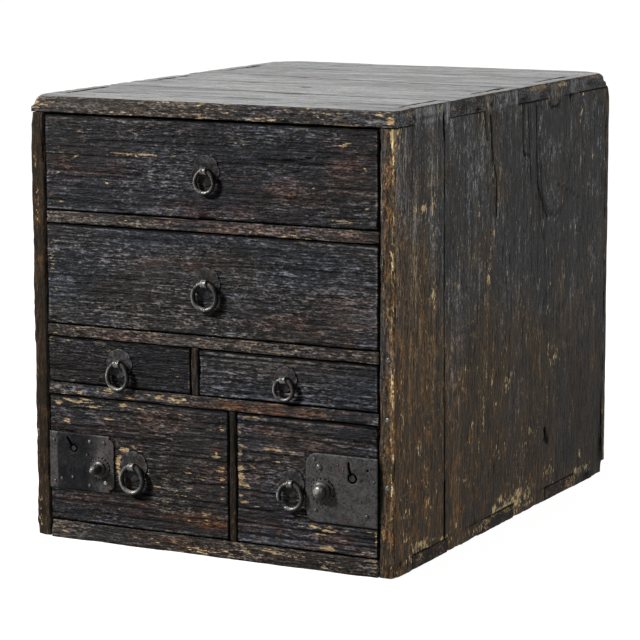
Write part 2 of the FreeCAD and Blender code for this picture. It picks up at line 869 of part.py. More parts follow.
# ---------------------------------------------------------------- checks and export
doc.recompute()
bad = [o.Name for o in doc.Objects if {"Invalid", "Error"} & set(o.State)]
for label, obj in nodes:
    shape = obj.Shape
    if shape.isNull() or not shape.isValid():
        bad.append(label)
for b, cut in cuts:
    before = cut.BaseFeature.Shape.Volume if cut.BaseFeature else 0
    if not before or cut.Shape.Volume > before - 0.01:
        bad.append(cut.Name + " cuts nothing")
if len({label for label, _ in nodes}) != len(nodes) or len(nodes) > 60:
    bad.append("labels")
if bad:
    print("FAILED", bad)
    sys.exit(1)

os.makedirs("parts", exist_ok=True)
for label, obj in nodes:
    obj.Shape.exportStep("parts/%s.step" % label)
total = sum(obj.Shape.Volume for _, obj in nodes)
print(len(nodes), "nodes,", round(total / 1e3), "cm3 of solid")
for label, obj in nodes:
    bb = obj.Shape.BoundBox
    print(
        "%-30s %d solid(s) x %.1f..%.1f y %.1f..%.1f z %.1f..%.1f"
        % (label, len(obj.Shape.Solids), bb.XMin, bb.XMax, bb.YMin, bb.YMax, bb.ZMin, bb.ZMax)
    )
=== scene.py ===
import math

import bpy
import numpy as np
from mathutils import Matrix, Vector, geometry


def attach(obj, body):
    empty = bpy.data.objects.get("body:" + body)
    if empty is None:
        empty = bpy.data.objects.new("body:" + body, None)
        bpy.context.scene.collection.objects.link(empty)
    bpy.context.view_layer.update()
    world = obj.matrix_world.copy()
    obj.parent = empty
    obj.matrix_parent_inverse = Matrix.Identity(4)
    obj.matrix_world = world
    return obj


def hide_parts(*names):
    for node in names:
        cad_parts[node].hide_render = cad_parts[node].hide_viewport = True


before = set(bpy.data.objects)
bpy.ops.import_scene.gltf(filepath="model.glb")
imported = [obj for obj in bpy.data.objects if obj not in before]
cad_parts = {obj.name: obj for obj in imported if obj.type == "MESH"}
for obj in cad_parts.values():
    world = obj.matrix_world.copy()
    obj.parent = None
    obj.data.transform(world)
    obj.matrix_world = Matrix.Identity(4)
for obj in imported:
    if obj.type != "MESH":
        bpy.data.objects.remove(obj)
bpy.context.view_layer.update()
MM = 0.001

# ------------------------------------------------------------------ noise on arrays of points (mm)


def _cellhash(i, j, k, seed):
    x = (
        i.astype(np.int64) * 73856093
        ^ j.astype(np.int64) * 19349663
        ^ k.astype(np.int64) * 83492791
        ^ seed * 2654435761
    ) & 0xFFFFFFFF
    x = x.astype(np.uint64)
    m = np.uint64(0xFFFFFFFF)
    x = ((x ^ (x >> np.uint64(15))) * np.uint64(2246822519)) & m
    x = ((x ^ (x >> np.uint64(13))) * np.uint64(3266489917)) & m
    x = x ^ (x >> np.uint64(16))
    return x.astype(np.float64) / 4294967295.0


def noise(p, freq, seed=0):
    """Smooth value noise from 0 to 1. freq is in cells per mm along x, y, z."""
    f = np.array(freq if np.ndim(freq) else (freq,) * 3, float)
    q = p * f + 1000.5
    i = np.floor(q).astype(np.int64)
    t = q - i
    t = t * t * (3 - 2 * t)
    out = 0
    for a in (0, 1):
        for b in (0, 1):
            for c in (0, 1):
                w = (
                    (t[:, 0] if a else 1 - t[:, 0])
                    * (t[:, 1] if b else 1 - t[:, 1])
                    * (t[:, 2] if c else 1 - t[:, 2])
                )
                out = out + w * _cellhash(i[:, 0] + a, i[:, 1] + b, i[:, 2] + c, seed)
    return out


def fbm(p, freq, seed=0, octaves=3, gain=0.5):
    f = np.array(freq if np.ndim(freq) else (freq,) * 3, float)
    total, amp, out = 0, 1.0, 0
    for o in range(octaves):
        out = out + amp * noise(p, f * 2.0**o, seed + 17 * o)
        total += amp
        amp *= gain
    return out / total


def smooth(x, a, b):
    t = np.clip((x - a) / (b - a), 0, 1)
    return t * t * (3 - 2 * t)


def blob(a, b, spots):
    """spots: (a, b, half-width a, half-width b, strength)"""
    out = np.zeros_like(a)
    for ca, cb, ra, rb, s in spots:
        out = np.maximum(out, s * np.exp(-(((a - ca) / ra) ** 2) - ((b - cb) / rb) ** 2))
    return out


def stroke(a, b, lines):
    """lines: (list of (a, b), half-width, strength)"""
    out = np.zeros_like(a)
    for pts, w, s in lines:
        best = np.full_like(a, 1e9)
        for (a0, b0), (a1, b1) in zip(pts[:-1], pts[1:]):
            da, db = a1 - a0, b1 - b0
            t = np.clip(((a - a0) * da + (b - b0) * db) / (da * da + db * db), 0, 1)
            best = np.minimum(best, (a - a0 - t * da) ** 2 + (b - b0 - t * db) ** 2)
        out = np.maximum(out, s * np.exp(-best / (w * w)))
    return out


# ------------------------------------------------------------------ closed boards with worn edges


def lines(a, b, step, extra=(), edge=True):
    """Grid positions from a to b, closer together at both ends and through every extra position."""
    fine = (0.3, 0.7, 1.2, 1.9, 2.8, 4.0)
    stops = {a, b, *extra}
    if edge and b - a > 9:
        stops |= {a + e for e in fine} | {b - e for e in fine}
    for x in extra:
        for e in (0.35, 0.9, 1.8):
            stops |= {v for v in (x - e, x + e) if a < v < b}
    stops = sorted(stops)
    kept = [stops[0]]
    for s in stops[1:]:
        if s - kept[-1] > 0.12 or s in extra or s == b:
            kept.append(s)
    out = [kept[0]]
    for s, e in zip(kept[:-1], kept[1:]):
        n = max(1, int(round((e - s) / step)))
        out += list(np.linspace(s, e, n + 1)[1:])
    return np.array(out)


def board(axes, us, vs, ws, mask=None, radius=1.0, erode=None, cut=()):
    """A closed slab over the grid us x vs, from ws[0] to ws[-1]. axes says which world axis each of u, v, w is, in a
    right-handed order. mask leaves cells out through the whole thickness, and cut takes boxes (u0, u1, v0, v1, w0, w1)
    out of it. Its outer edges are rounded by radius (mm) and its surface is worn inwards by erode(p, n, edge)."""
    nu, nv, nw = len(us) - 1, len(vs) - 1, len(ws) - 1
    if mask is None:
        mask = np.ones((nu, nv), bool)
    solid = np.repeat(mask[:, :, None], nw, 2)
    uc, vc, wc = ((x[:-1] + x[1:]) / 2 for x in (us, vs, ws))
    for u0, u1, v0, v1, w0, w1 in cut:
        solid[np.ix_((uc > u0) & (uc < u1), (vc > v0) & (vc < v1), (wc > w0) & (wc < w1))] = False
    key = lambda i, j, k: (i * (nv + 1) + j) * (nw + 1) + k
    around = np.pad(solid, 1)
    quads = []
    for di, dj, dk in ((1, 0, 0), (-1, 0, 0), (0, 1, 0), (0, -1, 0), (0, 0, 1), (0, 0, -1)):
        open_ = solid & ~around[1 + di : 1 + di + nu, 1 + dj : 1 + dj + nv, 1 + dk : 1 + dk + nw]
        i, j, k = np.nonzero(open_)
        if dk:
            k = k + (dk > 0)
            q = [key(i, j, k), key(i + 1, j, k), key(i + 1, j + 1, k), key(i, j + 1, k)]
            flip = dk < 0
        elif di:
            i = i + (di > 0)
            q = [key(i, j, k), key(i, j + 1, k), key(i, j + 1, k + 1), key(i, j, k + 1)]
            flip = di < 0
        else:
            j = j + (dj > 0)
            q = [key(i, j, k), key(i, j, k + 1), key(i + 1, j, k + 1), key(i + 1, j, k)]
            flip = dj < 0
        q = np.stack(q, 1)
        quads.append(q[:, ::-1] if flip else q)
    quads = np.concatenate(quads)
    padded = np.pad(mask, 1)
    walls = {"u": [], "v": []}
    for side, di, dj in (("-u", -1, 0), ("+u", 1, 0), ("-v", 0, -1), ("+v", 0, 1)):
        a, b = np.nonzero(mask & ~padded[1 + di : 1 + di + nu, 1 + dj : 1 + dj + nv])
        s = -1 if side[0] == "-" else 1
        own, other, at, run_axis = (a, b, us, vs) if side[1] == "u" else (b, a, vs, us)
        for row in np.unique(own):
            run = np.sort(other[own == row])
            for part in np.split(run, np.nonzero(np.diff(run) > 1)[0] + 1):
                walls[side[1]].append((at[row + (s > 0)], run_axis[part[0]], run_axis[part[-1] + 1], s))
    keys, index = np.unique(quads, return_inverse=True)
    faces = index.reshape(quads.shape)
    k = keys % (nw + 1)
    j = (keys // (nw + 1)) % (nv + 1)
    i = keys // ((nw + 1) * (nv + 1))
    u, v, w = us[i], vs[j], ws[k]
    order = ["xyz".index(c) for c in axes]
    p = np.zeros((len(u), 3))
    p[:, order[0]], p[:, order[1]], p[:, order[2]] = u, v, w
    near = []
    for own, other, name in ((u, v, "u"), (v, u, "v")):
        d, s = np.full(len(u), 1e9), np.ones(len(u))
        for at, lo, hi, sign in walls[name]:
            ok = (other >= lo - 1e-6) & (other <= hi + 1e-6)
            dist = np.where(ok, np.abs(own - at), 1e9)
            s = np.where(dist < d, sign, s)
            d = np.minimum(d, dist)
        near.append((d, s))
    low, high = w - ws[0], ws[-1] - w
    near.append((np.minimum(low, high), np.where(low < high, -1.0, 1.0)))
    r = radius(p) if callable(radius) else radius
    if not isinstance(r, tuple):
        r = (r, r, r)
    r = [np.broadcast_to(np.asarray(x, float), len(u)) for x in r]
    e = [np.clip(1 - d / np.maximum(rr, 1e-6), 0, 1) for (d, _), rr in zip(near, r)]
    e = [np.where(d < 1e-9, 1.0, x) for (d, _), x in zip(near, e)]
    length = np.maximum(np.sqrt(sum(x * x for x in e)), 1e-9)
    n = np.zeros_like(p)
    q = p.copy()
    for ax, x, (d, s), rr in zip(order, e, near, r):
        n[:, ax] = s * x / length
        q[:, ax] += s * rr * (x / length - x)
    edge = np.clip(np.sort(np.stack(e), 0)[-2], 0, 1)
    if erode is not None:
        q -= n * np.clip(erode(p, n, edge), 0, None)[:, None]
    return {"p": p, "q": q, "n": n, "edge": edge, "faces": faces}


def mesh_object(name, parts, body, replaced=(), material=None, paint=None, smooth_shade=True):
    """One object from boards or plain (q, faces) parts. paint(part) gives its vertex masks."""
    verts, polys, offset, attrs = [], [], 0, {}
    for part in parts:
        verts.append(part["q"])
        count = len(part["q"])
        f = part["faces"]
        if isinstance(f, np.ndarray):
            polys += (f + offset).tolist()
        else:
            polys += [[x + offset for x in poly] for poly in f]
        got = paint(part) if paint else part.get("attrs", {})
        for key in set(attrs) | set(got):
            have = attrs.setdefault(key, np.zeros(offset))
            attrs[key] = np.concatenate([have, got.get(key, np.zeros(count))])
        offset += count
    me = bpy.data.meshes.new(name)
    me.from_pydata((np.concatenate(verts) * MM).tolist(), [], polys)
    for key, values in attrs.items():
        layer = me.attributes.new(key, "FLOAT", "POINT")
        layer.data.foreach_set("value", values.astype(np.float32))
    me.update()
    if smooth_shade:
        me.polygons.foreach_set("use_smooth", np.ones(len(me.polygons), bool))
    ob = bpy.data.objects.new(name, me)
    bpy.context.scene.collection.objects.link(ob)
    if material:
        me.materials.append(material)
    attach(ob, body)
    if replaced:
        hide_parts(*replaced)
    return ob


# ------------------------------------------------------------------ materials


class Tree:
    """Small helper for shader nodes."""

    def __init__(self, name):
        self.mat = bpy.data.materials.new(name)
        self.mat.use_nodes = True
        self.t = self.mat.node_tree
        self.t.nodes.clear()
        self.out = self.t.nodes.new("ShaderNodeOutputMaterial")
        self.bsdf = self.t.nodes.new("ShaderNodeBsdfPrincipled")
        self.t.links.new(self.bsdf.outputs[0], self.out.inputs[0])
        self.coord = self.t.nodes.new("ShaderNodeTexCoord").outputs["Object"]

    def put(self, socket, value):
        if isinstance(value, bpy.types.NodeSocket):
            self.t.links.new(value, socket)
        elif isinstance(value, (tuple, list)) and len(value) == 3 and socket.type == "RGBA":
            socket.default_value = (*value, 1)
        else:
            socket.default_value = value

    def math(self, op, a, b=0.0, clamp=False):
        n = self.t.nodes.new("ShaderNodeMath")
        n.operation = op
        n.use_clamp = clamp
        self.put(n.inputs[0], a)
        self.put(n.inputs[1], b)
        return n.outputs[0]

    def scaled(self, vec, scale):
        n = self.t.nodes.new("ShaderNodeVectorMath")
        n.operation = "MULTIPLY"
        self.put(n.inputs[0], vec)
        n.inputs[1].default_value = scale
        return n.outputs[0]

    def add(self, a, b):
        n = self.t.nodes.new("ShaderNodeVectorMath")
        n.operation = "ADD"
        self.put(n.inputs[0], a)
        self.put(n.inputs[1], b)
        return n.outputs[0]

    def noise(self, vec, scale=1.0, detail=2.0, rough=0.5, dist=0.0, color=False):
        n = self.t.nodes.new("ShaderNodeTexNoise")
        self.put(n.inputs["Vector"], vec)
        n.inputs["Scale"].default_value = scale
        n.inputs["Detail"].default_value = detail
        n.inputs["Roughness"].default_value = rough
        n.inputs["Distortion"].default_value = dist
        return n.outputs["Color" if color else 0]

    def voronoi(self, vec, scale=1.0, feature="F1"):
        n = self.t.nodes.new("ShaderNodeTexVoronoi")
        n.feature = feature
        self.put(n.inputs["Vector"], vec)
        n.inputs["Scale"].default_value = scale
        return n.outputs["Distance"]

    def mix(self, fac, a, b):
        n = self.t.nodes.new("ShaderNodeMix")
        n.data_type = "RGBA"
        self.put(n.inputs[0], fac)
        self.put(n.inputs[6], a)
        self.put(n.inputs[7], b)
        return n.outputs[2]

    def ramp(self, fac, stops):
        n = self.t.nodes.new("ShaderNodeValToRGB")
        self.put(n.inputs[0], fac)
        els = n.color_ramp.elements
        while len(els) < len(stops):
            els.new(0.5)
        for el, (at, col) in zip(els, stops):
            el.position = at
            el.color = (*col, 1) if isinstance(col, tuple) else (col, col, col, 1)
        return n.outputs[0]

    def step(self, x, lo, hi):
        n = self.t.nodes.new("ShaderNodeMapRange")
        n.interpolation_type = "SMOOTHSTEP"
        self.put(n.inputs["Value"], x)
        self.put(n.inputs["From Min"], lo)
        self.put(n.inputs["From Max"], hi)
        return n.outputs[0]

    def attr(self, name):
        n = self.t.nodes.new("ShaderNodeAttribute")
        n.attribute_name = name
        return n.outputs["Fac"]

    def bump(self, height, strength, distance):
        n = self.t.nodes.new("ShaderNodeBump")
        n.inputs["Strength"].default_value = strength
        n.inputs["Distance"].default_value = distance
        self.put(n.inputs["Height"], height)
        self.put(self.bsdf.inputs["Normal"], n.outputs[0])


def old_wood(name, axis, ramp, cool, brown, pale_a, pale_b, warm_col, tan,
             weights=(0.22, 0.38, 0.30, 0.10), rough=(0.5, 0.78), spec=0.05, seed=0.0, chips=0.0, rub=0.5, bump=0.6,
             long_=1.0, gain=1.3, lid=None, k=1.0, thread=0.22, fleck=0.20, hair=1.0):
    """Worn dark wood. axis is the way its grain runs. ramp: (value, colour) for the coat's light and dark fibres.
    lid is the ramp, roughness and specular level of the faces marked "up". k scales every colour."""
    t = Tree(name)
    way = "xyz".index(axis)
    dim = lambda c: tuple(x * k for x in c)

    sway = t.noise(t.scaled(t.coord, (11, 11, 11)), 1.0, 2.0, 0.5, color=True)
    amp = [0.0030, 0.0030, 0.0030]
    amp[way] = 0.0
    wavy = t.add(t.coord, t.scaled(t.add(sway, (-0.5, -0.5, -0.5)), tuple(amp)))

    def along(a, b, off=0.0, detail=2.0, r=0.55, dist=0.0):
        s = [b, b, b]
        s[way] = a * long_
        return t.noise(t.add(t.scaled(wavy, tuple(s)), (seed + off, seed * 1.7 - off, off * 2.3)), 1.0, detail, r, dist)

    def sum_(*terms):
        out = None
        for x, f in terms:
            x = t.math("MULTIPLY", x, f)
            out = x if out is None else t.math("ADD", out, x)
        return out

    big = along(8, 16, 1.0, 3.0)
    band = along(7, 50, 2.0, 3.0, 0.6)
    streak = along(42, 400, 3.0, 2.0, 0.55)
    fibre = along(135, 760, 4.0, 1.0, 0.5)
    speck = along(330, 700, 5.0, 1.0, 0.5)
    chip = along(120, 540, 6.0, 2.0, 0.55)
    dash = along(75, 520, 7.0, 2.0, 0.5)
    cluster = along(26, 60, 8.0, 3.0, 0.6)
    pore = along(40, 420, 9.0, 2.0, 0.5)
    fine = along(700, 1900, 10.0, 1.0, 0.5)
    line = along(8 / long_, 240 * hair, 11.0, 3.0, 0.6)

    w = weights
    v = sum_((streak, w[0]), (fibre, w[1]), (speck, w[2]), (band, w[3]))
    # some patches are flecked and some are nearly plain
    uneven = t.math("MULTIPLY", t.math("ADD", t.math("MULTIPLY", t.step(cluster, 0.38, 0.64), 0.85), 0.62), gain)
    v = t.math("ADD", t.math("MULTIPLY", t.math("SUBTRACT", v, 0.5), uneven), 0.5)
    v = t.math("ADD", v, t.math("MULTIPLY", t.math("SUBTRACT", t.attr("grey"), 0.35), 0.085))
    v = t.math("ADD", v, t.math("MULTIPLY", t.attr("tone"), 0.084))
    v = t.math("ADD", v, t.math("MULTIPLY", t.math("SUBTRACT", fine, 0.5), 0.16))
    v = t.math("ADD", v, t.math("MULTIPLY", t.math("SUBTRACT", line, 0.5), thread))
    col = t.ramp(v, [(at, dim(c)) for at, c in ramp])
    up = None
    if lid:
        facing = t.t.nodes.new("ShaderNodeSeparateXYZ")
        t.put(facing.inputs[0], t.t.nodes.new("ShaderNodeNewGeometry").outputs["Normal"])
        up = t.math("MULTIPLY", t.attr("up"), t.step(facing.outputs[2], 0.80, 0.94))
    if lid:
        col = t.mix(up, col, t.ramp(v, [(at, dim(c)) for at, c in lid[0]]))
    side = sum_((big, 1.0), (t.attr("warm"), 0.10), (t.attr("brown"), 0.20))
    tint_ = t.mix(t.step(side, 0.38, 0.68), cool, brown)
    n = t.t.nodes.new("ShaderNodeMix")
    n.data_type = "RGBA"
    n.blend_type = "MULTIPLY"
    n.inputs[0].default_value = 1.0
    t.put(n.inputs[6], col)
    t.put(n.inputs[7], tint_)
    col = n.outputs[2]

    # fibres rubbed to grey-tan, stronger where the mask says so
    rubbing = t.math("ADD", t.math("MULTIPLY", t.attr("grey"), 0.9), rub)
    spread = sum_((dash, 1.0), (t.math("SUBTRACT", cluster, 0.5), 0.35), (t.math("SUBTRACT", speck, 0.5), 0.45))
    rubbing = t.math("MULTIPLY", rubbing, t.step(spread, 0.60, 0.74))
    col = t.mix(t.math("MULTIPLY", rubbing, 0.6, clamp=True), col, dim(tan))

    warm = t.math("MULTIPLY", t.attr("warm"), t.step(sum_((streak, 0.6), (cluster, 0.4)), 0.42, 0.60))
    warm = t.math("MULTIPLY", warm, t.math("ADD", t.math("MULTIPLY", t.step(v, 0.38, 0.62), 0.75), 0.15))
    col = t.mix(warm, col, dim(warm_col))

    # bare pale wood where the dark coat has chipped away
    edge = t.attr("edge")
    mixn = sum_((chip, 0.52), (dash, 0.18), (cluster, 0.25), (fine, 0.05), (t.attr("pale"), fleck), (edge, 0.045))
    over = t.math("SUBTRACT", mixn, 0.665 - chips)
    bare = t.math("MULTIPLY", over, 26.0, clamp=True)
    if lid:
        bare = t.math("MULTIPLY", bare, t.math("SUBTRACT", 1.0, t.math("MULTIPLY", up, 0.85)))
    pale_col = t.mix(t.step(sum_((fibre, 0.5), (speck, 0.5)), 0.40, 0.60), dim(pale_a), dim(pale_b))
    col = t.mix(bare, col, pale_col)

    # arrises lose their coat unevenly; on drawer fronts the edge mask also carries painted highlight lines along the
    # top and right edges
    rubbed = t.math("MULTIPLY", t.step(edge, 0.35, 0.90), t.step(sum_((cluster, 0.5), (chip, 0.5)), 0.44, 0.58))
    if lid:
        rubbed = t.math("MULTIPLY", rubbed, t.math("SUBTRACT", 1.0, t.math("MULTIPLY", up, 0.6)))
    col = t.mix(t.math("MULTIPLY", rubbed, 0.7), col, t.mix(t.step(streak, 0.42, 0.58), dim((0.060, 0.045, 0.034)), dim((0.19, 0.15, 0.105))))

    # cracks, gouges and dirt, together with painted shade in gaps, recesses and under parts
    black = t.attr("black")
    gone = t.math("MULTIPLY", black, t.math("ADD", t.math("MULTIPLY", speck, 0.6), 0.72), clamp=True)
    pores = t.math("MULTIPLY", t.step(pore, 0.40, 0.30), 0.6)
    gone = t.math("MAXIMUM", gone, pores)
    col = t.mix(gone, col, dim((0.0030, 0.0028, 0.0030)))

    # inside the drawer the wood was never coated
    inner = t.ramp(sum_((streak, 0.6), (fibre, 0.4)), [(0.40, (0.044, 0.029, 0.017)), (0.60, (0.105, 0.073, 0.044))])
    col = t.mix(t.attr("bare"), col, inner)
    t.put(t.bsdf.inputs["Base Color"], col)

    ro = t.math("ADD", t.math("MULTIPLY", t.step(v, 0.40, 0.60), rough[1] - rough[0]), rough[0])
    if lid:
        ru = t.math("ADD", t.math("MULTIPLY", t.step(sum_((streak, 0.35), (band, 0.45), (cluster, 0.20)), 0.42, 0.58), lid[1][1] - lid[1][0]), lid[1][0])
        ro = t.math("ADD", ro, t.math("MULTIPLY", up, t.math("SUBTRACT", ru, ro)))
        gloss = t.math("ADD", t.math("MULTIPLY", up, lid[2] - spec), spec)
        t.put(t.bsdf.inputs["Specular IOR Level"], t.math("MULTIPLY", t.math("SUBTRACT", 1.0, gone), gloss))
    else:
        t.put(t.bsdf.inputs["Specular IOR Level"], t.math("MULTIPLY", t.math("SUBTRACT", 1.0, gone), spec))
    ro = t.math("ADD", ro, t.math("MULTIPLY", bare, 0.12), clamp=True)
    t.put(t.bsdf.inputs["Roughness"], ro)

    h = sum_((streak, 0.9), (fibre, 0.75), (speck, 0.35), (fine, 0.12))
    h = t.math("ADD", h, t.math("MULTIPLY", t.step(pore, 0.30, 0.42), 0.22))
    h = t.math("SUBTRACT", h, t.math("MULTIPLY", bare, 0.18))
    h = t.math("SUBTRACT", h, t.math("MULTIPLY", black, 0.5))
    t.bump(h, bump, 0.0016)
    return t.mat


def plain_wood(name, axis, a, b, c):
    """Bare aged softwood, as inside the drawers."""
    t = Tree(name)
    k = "xyz".index(axis)

    def along(x, y, off=0.0):
        s = [y, y, y]
        s[k] = x
        return t.add(t.scaled(t.coord, tuple(s)), (off, off * 1.3, off * 2.1))

    big = t.noise(along(3, 9, 1), 1, 3, 0.5)
    ring = t.noise(along(2, 90, 2), 1, 3, 0.6, 0.4)
    fine = t.noise(along(30, 900, 3), 1, 3, 0.6)
    stain = t.noise(along(9, 14, 4), 1, 4, 0.6)
    v = t.math("ADD", t.math("MULTIPLY", ring, 0.6), t.math("MULTIPLY", fine, 0.4))
    late = t.noise(along(1.4, 150, 5), 1, 3, 0.55, 0.5)
    scar = t.noise(along(60, 700, 6), 1, 2, 0.5)
    col = t.ramp(v, [(0.36, a), (0.5, b), (0.64, c)])
    col = t.mix(t.math("MULTIPLY", t.step(late, 0.52, 0.60), 0.40), col, (0.062, 0.036, 0.018))
    col = t.mix(t.math("MULTIPLY", t.step(scar, 0.66, 0.72), 0.6), col, (0.030, 0.020, 0.013))
    col = t.mix(t.math("MULTIPLY", t.step(big, 0.4, 0.65), 0.45), col, (0.088, 0.056, 0.029))
    col = t.mix(t.math("MULTIPLY", t.step(stain, 0.56, 0.72), 0.6), col, (0.05, 0.033, 0.022))
    col = t.mix(t.math("MULTIPLY", t.attr("edge"), 0.35), col, (0.075, 0.05, 0.03))
    t.put(t.bsdf.inputs["Base Color"], col)
    t.put(t.bsdf.inputs["Roughness"], t.math("ADD", t.math("MULTIPLY", v, 0.25), 0.6))
    t.bsdf.inputs["Specular IOR Level"].default_value = 0.3
    t.bump(t.math("ADD", t.math("MULTIPLY", ring, 0.5), fine), 0.35, 0.0009)
    return t.mat


def iron(name, dark, mid, light, rust, metallic=0.6, rough=(0.36, 0.6), rusty=0.35, bump=0.5, bright=(0.20, 0.20, 0.205),
         spec=0.3, scale=1.0):
    t = Tree(name)
    c = t.coord
    q = lambda f: t.scaled(c, (f * scale,) * 3)
    cloud = t.noise(q(110), 1, 4, 0.6)
    grit = t.noise(q(560), 1, 3, 0.6)
    hammer = t.voronoi(t.add(q(230), t.noise(q(150), 1, 2, 0.5, color=True)), 1.0, "SMOOTH_F1")
    spot = t.noise(t.add(q(190), (7.0, 3.0, 1.0)), 1, 4, 0.65)
    v = t.math("ADD", t.math("MULTIPLY", cloud, 0.5), t.math("MULTIPLY", grit, 0.5))
    col = t.ramp(v, [(0.38, dark), (0.5, mid), (0.62, light)])
    col = t.mix(t.math("MULTIPLY", t.step(spot, 0.52, 0.66), rusty), col, rust)
    # bright bare metal where it is polished, and painted highlights where the mask is placed by the light
    col = t.mix(t.math("MULTIPLY", t.math("MULTIPLY", t.attr("shine"), 0.85), t.step(grit, 0.30, 0.55)), col, bright)
    col = t.mix(t.math("MULTIPLY", t.math("MULTIPLY", t.attr("rust"), 0.8), t.step(spot, 0.42, 0.56)), col, (0.044, 0.0205, 0.0102))
    col = t.mix(t.math("MULTIPLY", t.attr("cool"), 0.9), col, (0.0011, 0.0013, 0.0018))
    col = t.mix(t.math("MULTIPLY", t.attr("black"), 0.85), col, (0.002, 0.002, 0.002))
    t.put(t.bsdf.inputs["Base Color"], col)
    t.bsdf.inputs["Metallic"].default_value = metallic
    dull = t.math("MAXIMUM", t.attr("cool"), t.attr("black"))
    t.put(t.bsdf.inputs["Specular IOR Level"], t.math("MULTIPLY", t.math("SUBTRACT", 1.0, t.math("MULTIPLY", dull, 0.75)), spec))
    ro = t.math("ADD", t.math("MULTIPLY", t.step(v, 0.40, 0.60), rough[1] - rough[0]), rough[0])
    ro = t.math("SUBTRACT", ro, t.math("MULTIPLY", t.attr("shine"), 0.10), clamp=True)
    t.put(t.bsdf.inputs["Roughness"], ro)
    hgt = t.math("ADD", t.math("MULTIPLY", hammer, 0.7), t.math("MULTIPLY", grit, 0.5))
    hgt = t.math("ADD", hgt, t.math("MULTIPLY", cloud, 0.6))
    t.bump(hgt, bump, 0.0006)
    return t.mat


def tinted(stops, k, c):
    return [(at, tuple(v * k * x for x in c)) for at, v in stops]


STOPS = [(0.28, 0.0022), (0.34, 0.0032), (0.40, 0.0048), (0.45, 0.0074), (0.50, 0.0118), (0.54, 0.0180), (0.58, 0.0290),
         (0.62, 0.049), (0.67, 0.088), (0.76, 0.18)]
SIDE_STOPS = [(0.28, 0.0085), (0.34, 0.0115), (0.40, 0.016), (0.45, 0.0235), (0.50, 0.034), (0.54, 0.047), (0.58, 0.068),
              (0.62, 0.098), (0.67, 0.145), (0.76, 0.23)]
LID_STOPS = [(0.34, 0.010), (0.42, 0.018), (0.50, 0.030), (0.58, 0.050), (0.68, 0.085)]
COAT = tinted(STOPS, 1.0, (1.0, 1.0, 1.0))
SIDE_COAT = tinted(SIDE_STOPS, 1.0, (1.0, 1.0, 1.0))
LID = tinted(LID_STOPS, 1.0, (0.97, 0.99, 1.04))
PALE_A, PALE_B = (0.20, 0.135, 0.066), (0.42, 0.31, 0.17)

FRONT = old_wood("worn_front", "x", COAT, (0.91, 0.98, 1.16), (1.11, 1.01, 0.94), PALE_A, PALE_B, (0.145, 0.050, 0.019),
                 (0.110, 0.106, 0.098), rough=(0.5, 0.75), spec=0.03, chips=0.028, rub=0.18, gain=1.15, k=0.41, thread=0.46, bump=0.9, long_=1.0,
                 weights=(0.15, 0.45, 0.30, 0.10), hair=1.7)
SIDE = old_wood("worn_side", "z", SIDE_COAT, (1.00, 1.00, 1.00), (1.34, 1.00, 0.60), (0.30, 0.21, 0.10), (0.55, 0.43, 0.23), (0.150, 0.066, 0.018),
                (0.135, 0.118, 0.094), weights=(0.32, 0.30, 0.20, 0.18), rough=(0.55, 0.8), spec=0.05, seed=3.1, chips=0.024,
                lid=(LID, (0.24, 0.38), 0.92), rub=0.0, long_=1.6, gain=1.75, k=0.57, thread=0.36, fleck=0.27)
FRAME = old_wood("worn_frame", "x", COAT, (0.93, 1.00, 1.14), (1.11, 1.01, 0.90), PALE_A, PALE_B, (0.165, 0.060, 0.021),
                 (0.135, 0.126, 0.110), rough=(0.5, 0.75), spec=0.035, seed=7.7, chips=0.026, rub=0.4, gain=1.4, k=0.46, thread=0.3, bump=0.8)
TOP = old_wood("worn_top", "x", COAT, (0.97, 1.00, 1.06), (1.18, 1.02, 0.84), PALE_A, PALE_B, (0.085, 0.034, 0.014),
               (0.14, 0.129, 0.110), rough=(0.5, 0.75), spec=0.04, seed=11.3, chips=0.02, rub=0.4, bump=0.45,
               lid=(LID, (0.24, 0.38), 0.92), k=0.50)
INSIDE_X = plain_wood("bare_wood_x", "x", (0.052, 0.034, 0.018), (0.094, 0.064, 0.034), (0.142, 0.102, 0.057))
INSIDE_Y = plain_wood("bare_wood_y", "y", (0.052, 0.034, 0.018), (0.094, 0.064, 0.034), (0.142, 0.102, 0.057))
IRON = iron("old_iron", (0.0022, 0.0022, 0.0024), (0.0055, 0.0055, 0.0057), (0.0135, 0.0131, 0.0128), (0.014, 0.009, 0.0065),
            metallic=0.15, rough=(0.30, 0.46), bright=(0.150, 0.146, 0.132), spec=0.20)
PLATE = iron("plate_iron", (0.0040, 0.0042, 0.0046), (0.0082, 0.0083, 0.0088), (0.0165, 0.0163, 0.016), (0.018, 0.013, 0.0105),
             metallic=0.15, rough=(0.5, 0.68), rusty=0.3, bump=0.35, bright=(0.046, 0.045, 0.0445), spec=0.06)
DULL = iron("dull_iron", (0.0024, 0.0025, 0.0028), (0.0074, 0.0076, 0.0083), (0.0190, 0.0190, 0.0198), (0.018, 0.0105, 0.0075),
            metallic=0.1, rough=(0.52, 0.70), rusty=0.3, bump=0.35, bright=(0.052, 0.052, 0.053), spec=0.05)

# ------------------------------------------------------------------ carcass
W, H, SIDE_T = 364.0, 404.0, 15.0
Y0, YB = -243.0, 235.0
DEPTH = YB - Y0
STEPS = [0.0] + [DEPTH / 6.5 * (k + 0.5) for k in range(6)] + [DEPTH]
TOP_UNDER, FOOT = 389.0, 14.5


def grain_relief(p, axis, seed, amp=0.28):
    f = [0.16, 0.16, 0.16]
    g = [0.45, 0.45, 0.45]
    k = "xyz".index(axis)
    f[k], g[k] = 0.008, 0.02
    a = fbm(p, f, seed, 3)
    b = noise(p, g, seed + 5)
    return amp * (0.6 * a + 0.4 * b)


def finger_mask(us, vs, u_edges, v_cut, keep_even):
    """Centres of a board's cells along u and which of them are kept as fingers; v_cut is not used."""
    uc = (us[:-1] + us[1:]) / 2
    idx = np.searchsorted(np.array(u_edges), uc) - 1
    tooth = (idx % 2 == 0) if keep_even else (idx % 2 == 1)
    return uc, tooth


